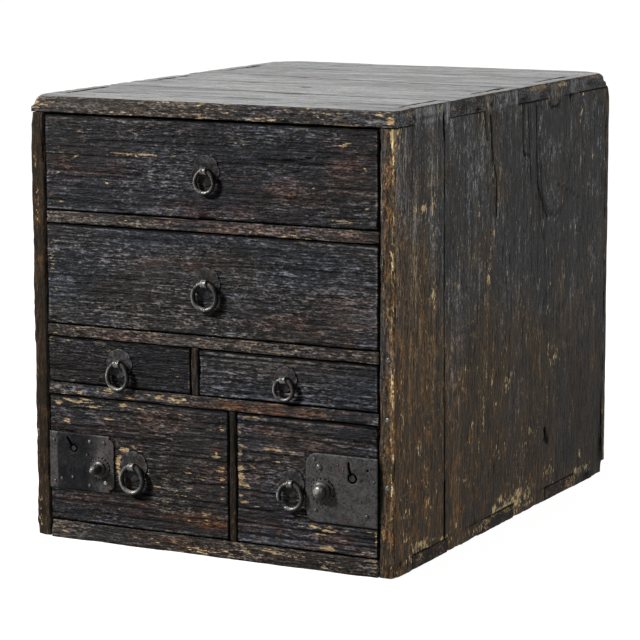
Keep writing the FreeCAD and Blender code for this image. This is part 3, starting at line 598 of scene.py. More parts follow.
BOLT_SLOT = {-1: (72.1, 81.7), 1: (74.3, 83.2)}  # foot and head of the mortise each lock bolt shoots into


def side_board(sign):
    slot = (Y0 + 7.2, Y0 + 11.0)
    low, high = BOLT_SLOT[sign]
    ys = lines(Y0, YB, 2.5 if sign < 0 else 3.2, extra=[Y0 + s for s in STEPS[1:-1]] + list(slot))
    if sign > 0:
        fine = np.concatenate([np.arange(12.5, 92, 2.0), np.arange(93, 106, 0.9), np.arange(182, 214, 1.4), np.arange(266, 332, 1.5)]) + Y0
        fine = fine[np.min(np.abs(fine[:, None] - ys[None]), 1) > 0.45]
        ys = np.sort(np.concatenate([ys, fine]))
    zs = lines(0.0, H, 2.6 if sign < 0 else 3.3, extra=[FOOT, TOP_UNDER, low, high])
    x0 = -W / 2 if sign < 0 else W / 2 - SIDE_T
    xs = np.array([0, 0.35, 0.8, 1.4, 2.2, 3.2, 4.6, 6.4, 8.6, 10.4, 11.8, 12.8, 13.6, 14.2, 14.65, 15.0])
    xs = np.sort(np.append(xs, 7.0 if sign < 0 else 8.0)) + x0
    cut = (*slot, low, high, x0 + 7.0, x0 + 15.0) if sign < 0 else (*slot, low, high, x0, x0 + 8.0)
    yc, zc = (ys[:-1] + ys[1:]) / 2, (zs[:-1] + zs[1:]) / 2
    idx = np.searchsorted(np.array(STEPS), yc - Y0) - 1
    odd = idx % 2 == 1
    mask = np.ones((len(yc), len(zc)), bool)
    mask[np.ix_(odd, zc < FOOT)] = False
    mask[np.ix_(~odd, zc > TOP_UNDER)] = False

    def joint(p):
        """Distance to the nearest box-joint line."""
        d = np.minimum(np.abs(p[:, 2] - TOP_UNDER), np.abs(p[:, 2] - FOOT))
        up = (p[:, 2] > TOP_UNDER - 1) | (p[:, 2] < FOOT + 1)
        dy = np.min(np.abs(p[:, 1][:, None] - Y0 - np.array(STEPS[1:-1])[None]), 1)
        return np.minimum(d, np.where(up, dy, 1e9))

    def radius(p):
        wob = fbm(p, (0.05, 0.05, 0.05), 31 + sign, 3)
        big = 1.6 + 2.6 * smooth(wob, 0.35, 0.75)
        j = joint(p)
        r = 0.6 + (big - 0.6) * smooth(j, 1.0, 5.0)
        end = np.maximum(smooth(p[:, 2], H - 6, H - 2), smooth(-p[:, 2], -6, -2))
        rw = r + (big - r) * end
        rv = np.where((p[:, 2] > H - 6) | (p[:, 2] < 6), big, r)
        # the front shoulder under the top board is rounded off
        sh = smooth(p[:, 2], 366, 388) * smooth(-p[:, 1], -Y0 - 14, -Y0 - 4) * (p[:, 0] * sign > W / 2 - 8)
        rear = smooth(p[:, 2], 376, 388) * smooth(p[:, 1], YB - 18, YB - 4) * (p[:, 0] * sign > W / 2 - 8)
        sh = np.maximum(sh, rear)
        foot = smooth(-p[:, 2], -17, -5) * smooth(-p[:, 1], -Y0 - 34, -Y0 - 6) * (p[:, 0] * sign > W / 2 - 8)
        return (np.maximum(r, 6.0 * sh + (4.0 if sign < 0 else 11.0) * foot), rv, np.maximum(rw, 6.0 * sh + 5.0 * foot))

    def erode(p, n, edge):
        out = grain_relief(p, "z", 40 + sign, 0.5)
        a, b = p[:, 1] - Y0, p[:, 2]
        outer = np.clip(n[:, 0] * sign, 0, 1)
        worn = smooth(fbm(p, (0.03, 0.03, 0.03), 45 + sign, 3), 0.5, 0.8)
        out = out + 0.5 * worn
        chipped = smooth(fbm(p, (0.12, 0.12, 0.06), 52 + sign, 3), 0.56, 0.74) * edge
        out = out + 1.6 * chipped
        out = out + 2.2 * np.clip(-n[:, 2], 0, 1) * (b < 9) * smooth(fbm(p, (0.0, 0.05, 0.0), 57 + sign, 3), 0.42, 0.68)
        if sign > 0:
            out = out + outer * side_cracks(a, b)
            # rear bottom corner broken away
            rear = smooth(a, 455, 470) * smooth(-b, -15, -4)
            out = out + 0.8 * rear
        return out

    return board("yzx", ys, zs, xs, mask, radius, erode, [cut]), joint


def side_cracks(a, b):
    """Depth of the cracks in the right side's outer face (a from the front, b from the floor)."""
    c = stroke(a, b, [
        ([(97, 394), (97.6, 371)], 0.9, 1.3),
        ([(97.6, 371), (98.5, 250), (101, 120), (101.6, 62)], 0.55, 0.8),
        ([(101.6, 66), (102, 15)], 0.9, 1.2),
        ([(329, 72), (331, 66), (335, 60)], 1.5, 2.4),
        ([(328, 61.5), (333, 60.5)], 1.2, 1.6),
        ([(194, 386), (197, 360), (203, 325), (209, 300), (211, 285)], 0.8, 0.9),
        ([(270, 388), (271, 350), (270, 320)], 0.7, 0.7),
        ([(285, 385), (289, 350), (290, 316)], 0.7, 0.7),
        ([(303, 382), (309, 340), (316, 300), (322, 257)], 0.8, 0.9),
        ([(333, 384), (337, 381), (347, 380.5), (354, 381.5), (357, 384)], 0.8, 0.9),
        ([(308, 313), (330, 296), (348, 276)], 0.6, 0.5),
        ([(385, 313), (372, 292), (356, 272)], 0.6, 0.5),
        ([(430, 404), (432, 300), (431, 180)], 0.6, 0.4),
        ([(150, 200), (151, 120), (149, 60)], 0.6, 0.35),
        ([(240, 150), (242, 90), (241, 30)], 0.6, 0.35),
    ])
    g = blob(a, b, [
        (385, 386, 3.0, 3.0, 2.0), (198, 394, 2.2, 2.2, 1.6), (219, 395, 2.2, 2.2, 1.6),
        (446, 365, 1.6, 1.6, 1.0), (60, 20, 22, 3.5, 1.0), (127, 20, 4, 5, 1.0), (250, 12, 26, 8, 0.9),
    ])
    return c + g


def side_paint(sign):
    def paint(part):
        p, n, edge = part["p"], part["n"], part["edge"]
        a, b = p[:, 1] - Y0, p[:, 2]
        outer = np.clip(n[:, 0] * sign, 0, 1)
        frontal = np.clip(-n[:, 1], 0, 1)
        inner = np.clip(-n[:, 0] * sign, 0, 1)
        pale = np.zeros(len(a))
        warm = np.zeros(len(a))
        black = np.zeros(len(a))
        grey = 0.24 * np.ones(len(a))
        xo = (p[:, 0] * sign) - (W / 2 - SIDE_T)  # 0 at the inner arris of the front edge, 15 at the outer
        if sign > 0:
            warm += outer * (0.35 * smooth(-b, -330, -40) * smooth(-a, -330, -60) + 0.25 * smooth(-b, -260, -120))
            pale += outer * blob(a, b, [
                (60, 20, 30, 5, 0.75), (127, 21, 5, 5, 0.7), (250, 14, 36, 11, 0.7), (417, 388, 3, 2, 0.8),
                (413, 370, 3, 3, 0.8), (409, 361, 2.5, 2.5, 0.8), (116, 392, 5.5, 5.5, 0.5), (345, 30, 20, 8, 0.4),
                (20, 60, 10, 40, 0.35), (14, 150, 8, 60, 0.28), (8, 380, 7, 20, 0.5), (200, 8, 60, 6, 0.5),
                (420, 16, 30, 8, 0.45), (160, 75, 25, 22, 0.22), (290, 70, 40, 26, 0.25), (80, 95, 22, 30, 0.2),
                (400, 250, 40, 90, 0.10), (240, 200, 60, 80, 0.08),
                (41, 317, 4, 5, 0.75), (57, 316, 6, 5, 0.8), (74, 317, 4, 8, 0.7), (75, 290, 4, 10, 0.55), (76, 236, 6, 14, 0.62), (62, 265, 3, 12, 0.5),
                (62, 205, 3, 14, 0.5), (172, 300, 3, 10, 0.65), (199, 262, 3.5, 22, 0.66), (194, 236, 3.5, 8, 0.8), (205, 275, 3, 6, 0.8), (168, 325, 2.5, 5, 0.5),
                (129, 238, 7, 4, 0.6), (192, 150, 3, 22, 0.55), (186, 112, 3, 20, 0.5), (160, 108, 4, 6, 0.6), (240, 133, 10, 9, 0.62), (349, 138, 17, 6, 0.68),
                (333, 190, 3, 22, 0.5), (336, 150, 3, 14, 0.5), (445, 323, 10, 4, 0.55), (48, 104, 9, 9, 0.55), (65, 70, 10, 40, 0.36), (30, 60, 8, 36, 0.36),
                (210, 18, 6, 7, 0.7), (262, 20, 22, 8, 0.75), (240, 8, 30, 5, 0.6), (60, 12, 44, 6, 0.55), (110, 14, 10, 8, 0.55), (290, 20, 10, 10, 0.5),
                (350, 120, 30, 40, 0.2), (250, 60, 50, 40, 0.24), (120, 160, 50, 40, 0.2),
                (52, 245, 2, 20, 0.5), (88, 300, 2, 24, 0.35), (78, 150, 3, 20, 0.4), (66, 130, 2.5, 16, 0.45), (84, 62, 3, 16, 0.4), (24, 30, 4, 14, 0.6),
                (130, 62, 6, 5, 0.55), (152, 92, 8, 3, 0.55), (146, 60, 8, 3, 0.5), (176, 84, 3, 7, 0.5), (205, 138, 4, 5, 0.6), (212, 120, 3, 5, 0.5),
                (250, 140, 8, 4, 0.6), (237, 126, 6, 4, 0.6), (256, 105, 6, 4, 0.45), (272, 90, 6, 3, 0.4), (225, 26, 8, 4, 0.75), (270, 24, 12, 5, 0.8),
                (283, 16, 6, 5, 0.75), (95, 16, 8, 3, 0.6), (160, 204, 3, 4, 0.5), (150, 262, 2.5, 4, 0.4), (180, 244, 3, 3, 0.4), (334, 105, 3, 6, 0.4),
                (338, 215, 2.5, 16, 0.45), (420, 30, 3, 16, 0.5), (392, 60, 3, 14, 0.35),
                (88, 398, 5, 3.5, 0.8), (210, 401, 16, 2.5, 0.45), (360, 400, 22, 3, 0.55), (50, 7, 14, 4.5, 0.6), (74, 6, 5, 4, 0.6), (236, 9, 16, 4, 0.5), (290, 8, 20, 4, 0.6),
            ])
            warm += outer * blob(a, b, [(40, 60, 45, 70, 0.5), (150, 40, 80, 40, 0.4), (20, 250, 22, 150, 0.35),
                                        (300, 40, 80, 35, 0.35), (420, 90, 50, 70, 0.2)])
            black += outer * stroke(a, b, [
                ([(97, 394), (97.6, 371)], 1.7, 1.4),
                ([(97.6, 371), (98.5, 250), (101, 120), (101.6, 62)], 1.15, 0.75),
                ([(97.8, 350), (98.1, 322)], 1.2, 1.0), ([(98.3, 300), (98.8, 238)], 1.2, 1.0), ([(99.4, 214), (100.4, 150)], 1.2, 1.0), ([(100.8, 130), (101.4, 84)], 1.3, 1.0),
                ([(101.6, 66), (102, 14)], 2.0, 1.4),
                ([(329, 73), (331, 66), (336, 59)], 2.1, 1.4), ([(328, 62), (333, 60.5)], 1.7, 1.2),
                ([(183, 388), (186, 368), (190, 362)], 1.2, 1.2),
                ([(196, 384), (200, 356), (206, 336), (210, 326), (211, 300), (209, 286)], 1.2, 1.3),
                ([(268, 388), (270, 350), (273, 341), (280, 343), (286, 338)], 1.2, 1.4),
                ([(281, 386), (284, 356), (289, 316)], 1.1, 1.1),
                ([(301, 384), (302, 350), (304, 312), (313, 296), (322, 284), (330, 277)], 1.3, 1.4),
                ([(304, 312), (312, 280), (318, 258)], 1.1, 0.7),
                ([(333, 384), (337, 381), (347, 380.5), (354, 381.5), (357, 384)], 1.5, 0.9),
                ([(306, 310), (322, 290), (334, 280), (348, 276), (360, 282)], 1.5, 0.7),
                ([(352, 306), (372, 301), (395, 292), (405, 288)], 1.3, 0.6),
                ([(388, 334), (380, 310), (366, 282), (356, 272)], 1.3, 0.5),
                ([(12, 396), (60, 394), (100, 392)], 1.3, 0.6),
                ([(455, 376), (470, 372), (474, 340)], 1.5, 0.5),
                ([(322, 257), (326, 215), (329, 170)], 1.3, 0.45),
            ])
            grey += outer * stroke(a, b, [
                ([(94, 404), (95.5, 250), (98, 120), (99, 0)], 1.6, 0.45),
                ([(350, 308.5), (372, 303.5), (395, 294.5), (405, 290.5)], 1.2, 0.7),
                ([(304, 306), (320, 286), (334, 276.5), (348, 272.5), (360, 279)], 1.2, 0.6),
                ([(125, 240), (138, 230)], 1.5, 0.8), ([(80, 135), (95, 125)], 1.3, 0.6), ([(78, 172), (90, 164)], 1.3, 0.6),
            ])
            black += outer * blob(a, b, [(475, 48, 4.5, 42, 1.2), (470, 30, 5, 18, 0.9), (12, 12, 5, 4, 0.9), (65, 8, 4, 4, 0.8), (106, 6, 5, 5, 0.9), (168, 17, 4, 3, 0.7), (246, 394, 4, 3, 0.8), (376, 9, 10, 2, 0.9), (438, 6, 12, 5, 0.9), (385, 386, 3.5, 3.5, 1.2), (198, 394, 2.6, 2.6, 1.2),
                                         (219, 395, 2.6, 2.6, 1.2), (446, 365, 1.8, 1.8, 1.0)])
            # front edge of the board: orange-brown along its outer arris
            pale += frontal * smooth(xo, 8.5, 12.5) * (0.24 + 0.45 * np.exp(-(((b - 378) / 14) ** 2)) + 0.30 * smooth(noise(p, (0.1, 0.1, 0.02), 91), 0.45, 0.7))
            warm += frontal * (0.70 + 0.6 * smooth(noise(p, (0.1, 0.1, 0.012), 92), 0.4, 0.65)) * smooth(xo, 1, 7)
            black += frontal * blob(xo, b, [(2.2, 78, 2.0, 22, 1.6)])
            # painted shade in the gap beside the drawers, along the post's inner arris
            black += frontal * smooth(-xo, -2.6, -0.4) * 0.8
        else:
            pale += frontal * (-0.35 + 0.62 * blob(xo, b, [(9, 295, 8, 14, 1.0), (12, 240, 5, 8, 0.8), (12, 380, 5, 16, 0.35), (13, 90, 4, 60, 0.25), (12, 12, 5, 14, 0.7)]))
            warm += frontal * (0.62 + blob(xo, b, [(9, 295, 9, 16, 0.9), (9, 250, 8, 20, 0.5), (12, 170, 4, 40, 0.5), (8, 120, 5, 50, 0.3), (8, 350, 6, 30, 0.4)]))
            pale += frontal * blob(xo, b, [(10, 345, 4, 22, 0.70), (9, 318, 5, 10, 0.55), (11, 270, 3, 12, 0.70), (12, 208, 3, 12, 0.55), (11, 30, 4, 16, 0.6), (11, 150, 3, 20, 0.55), (12, 100, 3, 14, 0.6)])
            # a darker front edge, with painted shade deepening along the inner arris beside the drawers, less at the
            # foot
            black += frontal * (0.30 + smooth(-xo, -2.5, -0.5) * 0.5) * (1 - 0.75 * smooth(-b, -22, -15))
            warm += outer * 0.25
        # painted shade on the inner face, darker further in from the front
        black += inner * 0.55 * smooth(a, 3, 30)
        # the joint lines
        d = np.minimum(np.abs(b - TOP_UNDER), np.abs(b - FOOT))
        up = (b > TOP_UNDER) | (b < FOOT)
        dy = np.min(np.abs(a[:, None] - np.array(STEPS[1:-1])[None]), 1)
        j = np.minimum(d, np.where(up, dy, 1e9))
        faint = np.where(b > 200, 1 - 0.8 * smooth(a, 40, 52) * smooth(-a, -244, -232), 0.25 + 0.6 * smooth(noise(p, (0.03, 0.03, 0.03), 88), 0.45, 0.6))
        black += outer * np.exp(-((j / 0.9) ** 2)) * 0.7 * faint * smooth(noise(p, (0.05, 0.05, 0.05), 77), 0.25, 0.6)
        seam = np.exp(-((j / 2.4) ** 2)) * outer
        pale += seam * 0.28 * smooth(noise(p, (0.07, 0.07, 0.07), 78), 0.5, 0.7)
        tone = frontal * (1.15 * smooth(xo, 6, 12) - 0.85 if sign > 0 else -2.9 + 0.3 * smooth(xo, 6, 12))
        tone += outer * (0.06 - 0.36 * smooth(a, 230, 420) - 1.05 * smooth(-b, -230, -60) - 0.35 * smooth(a, 250, 420) * smooth(-b, -260, -100) + 0.45 * smooth(-a, -100, -20) + 1.2 * smooth(b, 387, 391))
        # long streaks run down the front half
        run = noise(p, (0.2, 0.2, 0.007), 85)
        tone += outer * 1.5 * (run - 0.5) * smooth(-a, -200, -60)
        warm += outer * 1.0 * smooth(noise(p, (0.17, 0.17, 0.006), 86), 0.50, 0.68) * smooth(-a, -105, -60) * smooth(-b, -330, -200)
        tone += outer * 0.9 * (noise(p, (0.02, 0.02, 0.008), 79) - 0.5) + outer * 1.3 * (fbm(p, (0.07, 0.07, 0.009), 80, 3) - 0.5)
        tone += outer * 0.35 * (noise(p, (0.2, 0.2, 0.012), 83) - 0.5) * smooth(-a, -330, -60)
        if sign > 0:
            tone += outer * (0.35 * blob(a, b, [(60, 60, 60, 60, 1.0)]) - 0.45 * smooth(a, 330, 440) * smooth(-b, -230, -90) - 0.7 * blob(a, b, [(470, 60, 26, 90, 1.0), (474, 60, 5, 80, 1.2), (476, 250, 3.5, 160, 1.0), (300, 60, 34, 26, 0.5), (470, 330, 10, 60, 0.5), (480, 200, 10, 300, 0.6)]))
        brown = outer * (1.3 * smooth(-b, -290, -70) * (1 - 0.5 * smooth(a, 300, 420)) + 0.8 * smooth(-a, -110, -30) * smooth(-b, -400, -250) - 0.5) + frontal * (0.15 + 0.55 * smooth(xo, 5, 10) if sign > 0 else 0.7)
        if sign < 0:
            edge = edge * (1 - 0.7 * frontal)
        flat_ = smooth(np.clip(n[:, 2], 0, 1), 0.90, 0.985) * (b > 398)
        return {"pale": np.clip(pale, -0.5, 1.2), "warm": np.clip(warm, 0, 1), "black": np.clip(black, 0, 1), "grey": np.maximum(grey, 0.95 * flat_),
                "edge": edge, "tone": tone * (1 - flat_), "brown": np.clip(brown, -0.5, 1.3) * (1 - flat_), "up": flat_}

    return paint


for tag, sign in (("left", -1), ("right", 1)):
    b_, _ = side_board(sign)
    mesh_object(tag + "_side_board", [b_], "carcass", [tag + "_side"], SIDE, side_paint(sign))


# top board
def top_board():
    xs = lines(-W / 2, W / 2, 2.2, extra=[-W / 2 + SIDE_T, W / 2 - SIDE_T])
    ys = lines(Y0, YB, 2.4, extra=[Y0 + s for s in STEPS[1:-1]])
    zs = TOP_UNDER + np.array([0, 0.35, 0.8, 1.4, 2.2, 3.2, 4.6, 6.4, 8.6, 10.4, 11.8, 12.8, 13.6, 14.2, 14.65, 15.0])
    xc, yc = (xs[:-1] + xs[1:]) / 2, (ys[:-1] + ys[1:]) / 2
    idx = np.searchsorted(np.array(STEPS), yc - Y0) - 1
    odd = idx % 2 == 1
    mask = np.ones((len(xc), len(yc)), bool)
    mask[np.ix_(np.abs(xc) > W / 2 - SIDE_T, odd)] = False

    def radius(p):
        wob = fbm(p, 0.05, 61, 3)
        big = 1.5 + 2.2 * smooth(wob, 0.35, 0.75)
        corner = smooth(-p[:, 0], W / 2 - 26, W / 2 - 4) * smooth(-p[:, 1], -Y0 - 20, -Y0 - 2)
        back_corner = smooth(np.abs(p[:, 0]), W / 2 - 26, W / 2 - 4) * smooth(p[:, 1], YB - 24, YB - 3)
        big = big + 6.5 * corner + 8.0 * back_corner
        dy = np.min(np.abs(p[:, 1][:, None] - Y0 - np.array(STEPS[1:-1])[None]), 1)
        on_end = np.abs(p[:, 0]) > W / 2 - SIDE_T - 1
        j = np.where(on_end, dy, 1e9)
        ru = big  # x arrises
        rv = 0.6 + (big - 0.6) * smooth(j, 1.0, 5.0)
        rw = np.where(p[:, 2] < TOP_UNDER + 5, 0.7, big)
        rv = np.where(np.abs(p[:, 1] - Y0) < 12, big, rv)
        low = p[:, 2] < TOP_UNDER + 5
        return (np.where(low, np.minimum(ru, 1.6), ru), np.where(low & (np.abs(p[:, 1] - Y0) < 12), np.minimum(rv, 1.4), rv), rw)

    def erode(p, n, edge):
        out = grain_relief(p, "x", 62, 0.5)
        up = np.clip(n[:, 2], 0, 1)
        a, b = p[:, 0], p[:, 1] - Y0
        out = out + up * stroke(a, b, [
            ([(-182, 133), (-60, 128), (80, 117), (182, 112)], 1.0, 1.3),
            ([(-182, 215), (182, 212)], 0.9, 0.8),
            ([(-182, 300), (-100, 295), (60, 270), (182, 262)], 1.0, 1.1),
            ([(-182, 62), (-40, 58), (182, 55)], 0.8, 0.7),
            ([(-182, 385), (182, 378)], 0.8, 0.8),
        ])
        out = out + up * blob(a, b, [(0, 185, 6, 4, 0.9), (-120, 90, 30, 3, 0.4), (90, 40, 40, 3, 0.4)])
        chipped = smooth(fbm(p, (0.05, 0.10, 0.12), 65, 3), 0.56, 0.74) * edge
        out = out + 1.7 * chipped
        out = out + 0.6 * smooth(fbm(p, 0.025, 66, 3), 0.5, 0.8)
        # the front left corner is knocked back
        c = smooth(-a, W / 2 - 30, W / 2) * smooth(-b, -26, 0)
        return out + 1.8 * c * np.clip(-n[:, 0] + n[:, 2] * 0.6, 0, 1)

    return board("xyz", xs, ys, zs, mask, radius, erode)


def top_paint(part):
    p, n, edge = part["p"], part["n"], part["edge"]
    a, b, z = p[:, 0], p[:, 1] - Y0, p[:, 2]
    up, frontal = np.clip(n[:, 2], 0, 1), np.clip(-n[:, 1], 0, 1)
    end = np.abs(n[:, 0])
    pale = frontal * (0.10 + 0.35 * smooth(noise(p, (0.03, 0.1, 0.15), 71), 0.5, 0.75))
    pale += frontal * blob(a, z, [(-172, 394, 10, 9, 0.7), (-176, 400, 8, 5, 0.6), (60, 392, 26, 2.5, 0.55), (-40, 403, 30, 2, 0.3), (130, 391, 20, 2, 0.5), (178, 396, 6, 8, 0.7), (168, 402, 10, 3, 0.7)])
    pale += end * (0.05 + 0.3 * smooth(noise(p, 0.08, 73), 0.5, 0.7) + 0.35 * smooth(z, 397, 402) * smooth(b, 240, 300))
    pale += end * blob(b, z, [(122, 397, 13, 4.5, 0.65), (20, 400, 12, 3, 0.5), (300, 400, 22, 2.5, 0.5), (417, 392, 6, 3, 0.7), (150, 400, 16, 2, 0.4)])
    warm = frontal * 0.15 + end * 0.06
    grey = up * 0.95 + frontal * 0.5
    black = up * stroke(a, b, [
        ([(-182, 133), (-60, 128), (80, 117), (182, 112)], 1.3, 0.9),
        ([(-182, 215), (182, 212)], 1.2, 0.6),
        ([(-182, 300), (-100, 295), (60, 270), (182, 262)], 1.3, 0.8),
        ([(-182, 62), (-40, 58), (182, 55)], 1.0, 0.5),
        ([(-182, 385), (182, 378)], 1.0, 0.6),
    ]) + up * blob(a, b, [(0, 185, 5, 3.5, 0.8)])
    dy = np.min(np.abs(b[:, None] - np.array(STEPS[1:-1])[None]), 1)
    j = np.minimum(dy, np.abs(z - TOP_UNDER))
    black += end * np.exp(-((j / 0.9) ** 2)) * 0.7 * (1 - 0.8 * smooth(b, 40, 52) * smooth(-b, -244, -232))
    black += end * blob(b, z, [(168, 392, 5, 2.2, 1.1), (183, 396, 3, 2.4, 1.1), (272, 393, 12, 2, 0.7), (434, 396, 16, 3, 0.6)])
    # painted shade along the lower edge of the front and on faces turned downwards
    black += frontal * smooth(-z, -TOP_UNDER - 1.6, -TOP_UNDER) * 0.7
    black += np.clip(-n[:, 2], 0, 1) * 0.6
    return {"pale": np.clip(pale, 0, 1.2), "warm": np.clip(warm, 0, 1), "black": np.clip(black, 0, 1), "grey": np.clip(grey, 0, 1), "edge": edge,
            "up": smooth(up, 0.93, 0.985), "tone": frontal * 0.55 + end * (1.7 + 2.6 * (noise(p, (0.05, 0.05, 0.2), 74) - 0.5)), "brown": end * -0.55}


mesh_object("top_board_worn", [top_board()], "carcass", ["top_board"], TOP, top_paint)

DEEP = np.array([0, 0.3, 0.7, 1.2, 1.9, 2.8, 4.2, 6.5, 10, 16, 26, 45, 80, 130, 190, 250, 310, 370, 420, 455, 470, 475, 477, 477.7, 478]) + Y0


def rail(x0, x1, z0, z1, ys, seed, chips=1.0, r0=0.9, r1=1.6, step=1.5):
    """A board lying flat whose front edge shows: shelves and the bottom board."""
    zs = lines(z0, z1, 1.1)
    xs = lines(x0, x1, step)

    def radius(p):
        w = fbm(p, (0.04, 0.04, 0.1), seed, 3)
        return r0 + r1 * smooth(w, 0.4, 0.75)

    def erode(p, n, edge):
        out = grain_relief(p, "x", seed + 1, 0.45)
        out = out + chips * 1.3 * smooth(fbm(p, (0.04, 0.1, 0.16), seed + 2, 3), 0.55, 0.72) * edge
        out = out + 0.4 * smooth(fbm(p, (0.02, 0.1, 0.1), seed + 3, 2), 0.45, 0.8)
        return out

    return board("zxy", zs, xs, ys, None, radius, erode)


def rail_paint(pale_spots, warm_spots, base=0.14, seed=5):
    def paint(part):
        p, n, edge = part["p"], part["n"], part["edge"]
        frontal = np.clip(-n[:, 1], 0, 1)
        x, z = p[:, 0], p[:, 2]
        pale = frontal * (base * smooth(noise(p, (0.02, 0.1, 0.1), seed), 0.3, 0.8) * 2 + blob(x, z, pale_spots))
        warm = frontal * (0.12 + blob(x, z, warm_spots))
        # painted shade on the faces behind the front edge, darker further in
        black = (1 - frontal) * 0.75 * smooth(p[:, 1], Y0 + 1.0, Y0 + 8.0)
        grey = 0.5 * frontal
        return {"pale": np.clip(pale, 0, 1.2), "warm": np.clip(warm, 0, 1), "black": np.clip(black, 0, 1), "grey": grey, "edge": edge * smooth(-p[:, 1], -Y0 - 12, -Y0 - 3),
                "tone": 0.5 * frontal, "brown": 0.3 * frontal}

    return paint


XI = W / 2 - SIDE_T
parts = [rail(-XI, XI, 0.0, 17.0, DEEP, 101, 1.0, 1.2, 2.2)]
for s_ in (-1, 1):
    for k in (1, 3, 5):
        x0, x1 = (XI - 6, W / 2) if s_ > 0 else (-W / 2, -XI + 6)
        xs = lines(x0, x1, 2.0)
        zs = lines(0.0, FOOT, 1.6)
        ys = lines(Y0 + STEPS[k], Y0 + STEPS[k + 1], 2.4)

        def rad(p):
            return (0.5 + 1.8 * smooth(-p[:, 2], -5, -1), 0.7 + 2.0 * smooth(-p[:, 2], -6, -1), 0.5 + 1.6 * smooth(-p[:, 2], -5, -1))

        def ero(p, n, edge):
            return 0.2 + 0.6 * fbm(p, (0.1, 0.2, 0.2), 120 + k, 3) + 1.4 * edge * smooth(fbm(p, 0.1, 130 + k, 3), 0.5, 0.75)

        parts.append(board("zxy", zs, xs, ys, None, rad, ero))


def bottom_paint(part):
    base = rail_paint(
        [(-80, 10, 60, 5, 0.35), (-20, 6, 40, 5, 0.5), (60, 11, 35, 4, 0.55), (130, 8, 25, 5, 0.5), (-150, 9, 15, 6, 0.5)],
        [(-40, 10, 40, 6, 0.3)], 0.07, 141)(part)
    base["tone"], base["brown"] = base["tone"] * 0.2, base["brown"] * 2
    p, n = part["p"], part["n"]
    end = np.abs(n[:, 0])
    if p[:, 0].max() > XI + 1 or p[:, 0].min() < -XI - 1:
        base["pale"] = np.clip(base["pale"] + end * (0.22 + 0.5 * smooth(noise(p, (0.1, 0.05, 0.1), 143), 0.4, 0.7)), 0, 1.2)
        base["black"] = end * 0.9 * np.exp(-((np.minimum(np.abs(p[:, 2] - FOOT), 9) / 1.0) ** 2)) * 0.8
        base["warm"] = end * 0.4
        base["grey"] = end * 0.3
        base["tone"] = end * (-0.1 + 1.8 * (noise(p, (0.05, 0.05, 0.2), 144) - 0.5))
        base["brown"] = end * 0.8
    return base


mesh_object("bottom_board_worn", parts, "carcass", ["bottom_board"], FRAME, bottom_paint)

SHELVES = {
    "upper_shelf": (290.5, 301.5, 201,
        [(20, 293, 40, 2, 0.4), (-60, 300, 40, 2, 0.3), (90, 293, 14, 2.5, 0.5), (-120, 295, 30, 3, 0.2)],
        [(20, 296, 60, 5, 0.35), (140, 296, 30, 5, 0.2)], 0.14),
    "middle_shelf": (187.5, 198.5, 211,
        [(-158, 190, 8, 3, 0.6), (-10, 196, 14, 2.5, 0.6), (-130, 197, 30, 2, 0.3), (60, 190, 40, 2, 0.25)],
        [(-60, 193, 60, 4, 0.2)], 0.10),
    "lower_shelf": (134.0, 145.0, 221,
        [(-105, 141.5, 14, 3.5, 0.95), (-80, 137, 16, 3, 0.8), (-55, 141, 16, 3.5, 0.95), (-30, 139, 12, 3, 0.7), (-130, 139, 14, 3, 0.35), (45, 136, 14, 2, 0.5), (145, 144, 14, 1.6, 0.4), (100, 144, 20, 1.4, 0.3)],
        [(50, 139, 40, 6, 0.9), (90, 140, 30, 5, 0.7), (-60, 140, 30, 5, 0.3)], 0.12),
}
for name, (z0, z1, seed, pale, warm, base) in SHELVES.items():
    mesh_object(name + "_worn", [rail(-XI, XI, z0, z1, DEEP, seed)], "carcass", [name], FRAME, rail_paint(pale, warm, base, seed))


def post(x0, x1, z0, z1, seed):
    zs = lines(z0, z1, 1.6)
    xs = lines(x0, x1, 0.9)
    xs = np.unique(np.round(np.concatenate([xs, [x0 + 0.3, x0 + 0.8, x1 - 0.8, x1 - 0.3]]), 3))

    def radius(p):
        return 0.8 + 1.1 * smooth(fbm(p, (0.1, 0.1, 0.05), seed, 3), 0.4, 0.75)

    def erode(p, n, edge):
        return grain_relief(p, "z", seed + 1, 0.4) + 1.1 * smooth(fbm(p, (0.1, 0.1, 0.05), seed + 2, 3), 0.55, 0.75) * edge

    return board("zxy", zs, xs, DEEP, None, radius, erode)


def post_paint(part):
    p, n, edge = part["p"], part["n"], part["edge"]
    frontal = np.clip(-n[:, 1], 0, 1)
    pale = frontal * (-0.3 + 0.4 * smooth(noise(p, (0.1, 0.1, 0.03), 301), 0.5, 0.75) * smooth(edge, 0.1, 0.8))
    warm = frontal * (0.30 + 0.35 * smooth(noise(p, (0.05, 0.05, 0.015), 302), 0.45, 0.7))
    # painted shade on the divider's side faces, which face the drawer gaps; the front is dark with noise
    black = (1 - frontal) * 0.7 + frontal * (0.38 + 0.35 * smooth(noise(p, (0.3, 0.3, 0.02), 303), 0.5, 0.7))
    return {"pale": pale, "warm": warm, "black": black, "grey": frontal * 0.3, "edge": 0.45 * edge * smooth(-p[:, 1], -Y0 - 12, -Y0 - 3),
            "tone": frontal * -2.1, "brown": frontal * 0.3}


mesh_object("upper_divider_worn", [post(-17.5, -10.5, 145.0, 187.5, 311)], "carcass", ["upper_divider"], SIDE, post_paint)
mesh_object("lower_divider_worn", [post(20.25, 27.25, 17.0, 134.0, 321)], "carcass", ["lower_divider"], SIDE, post_paint)


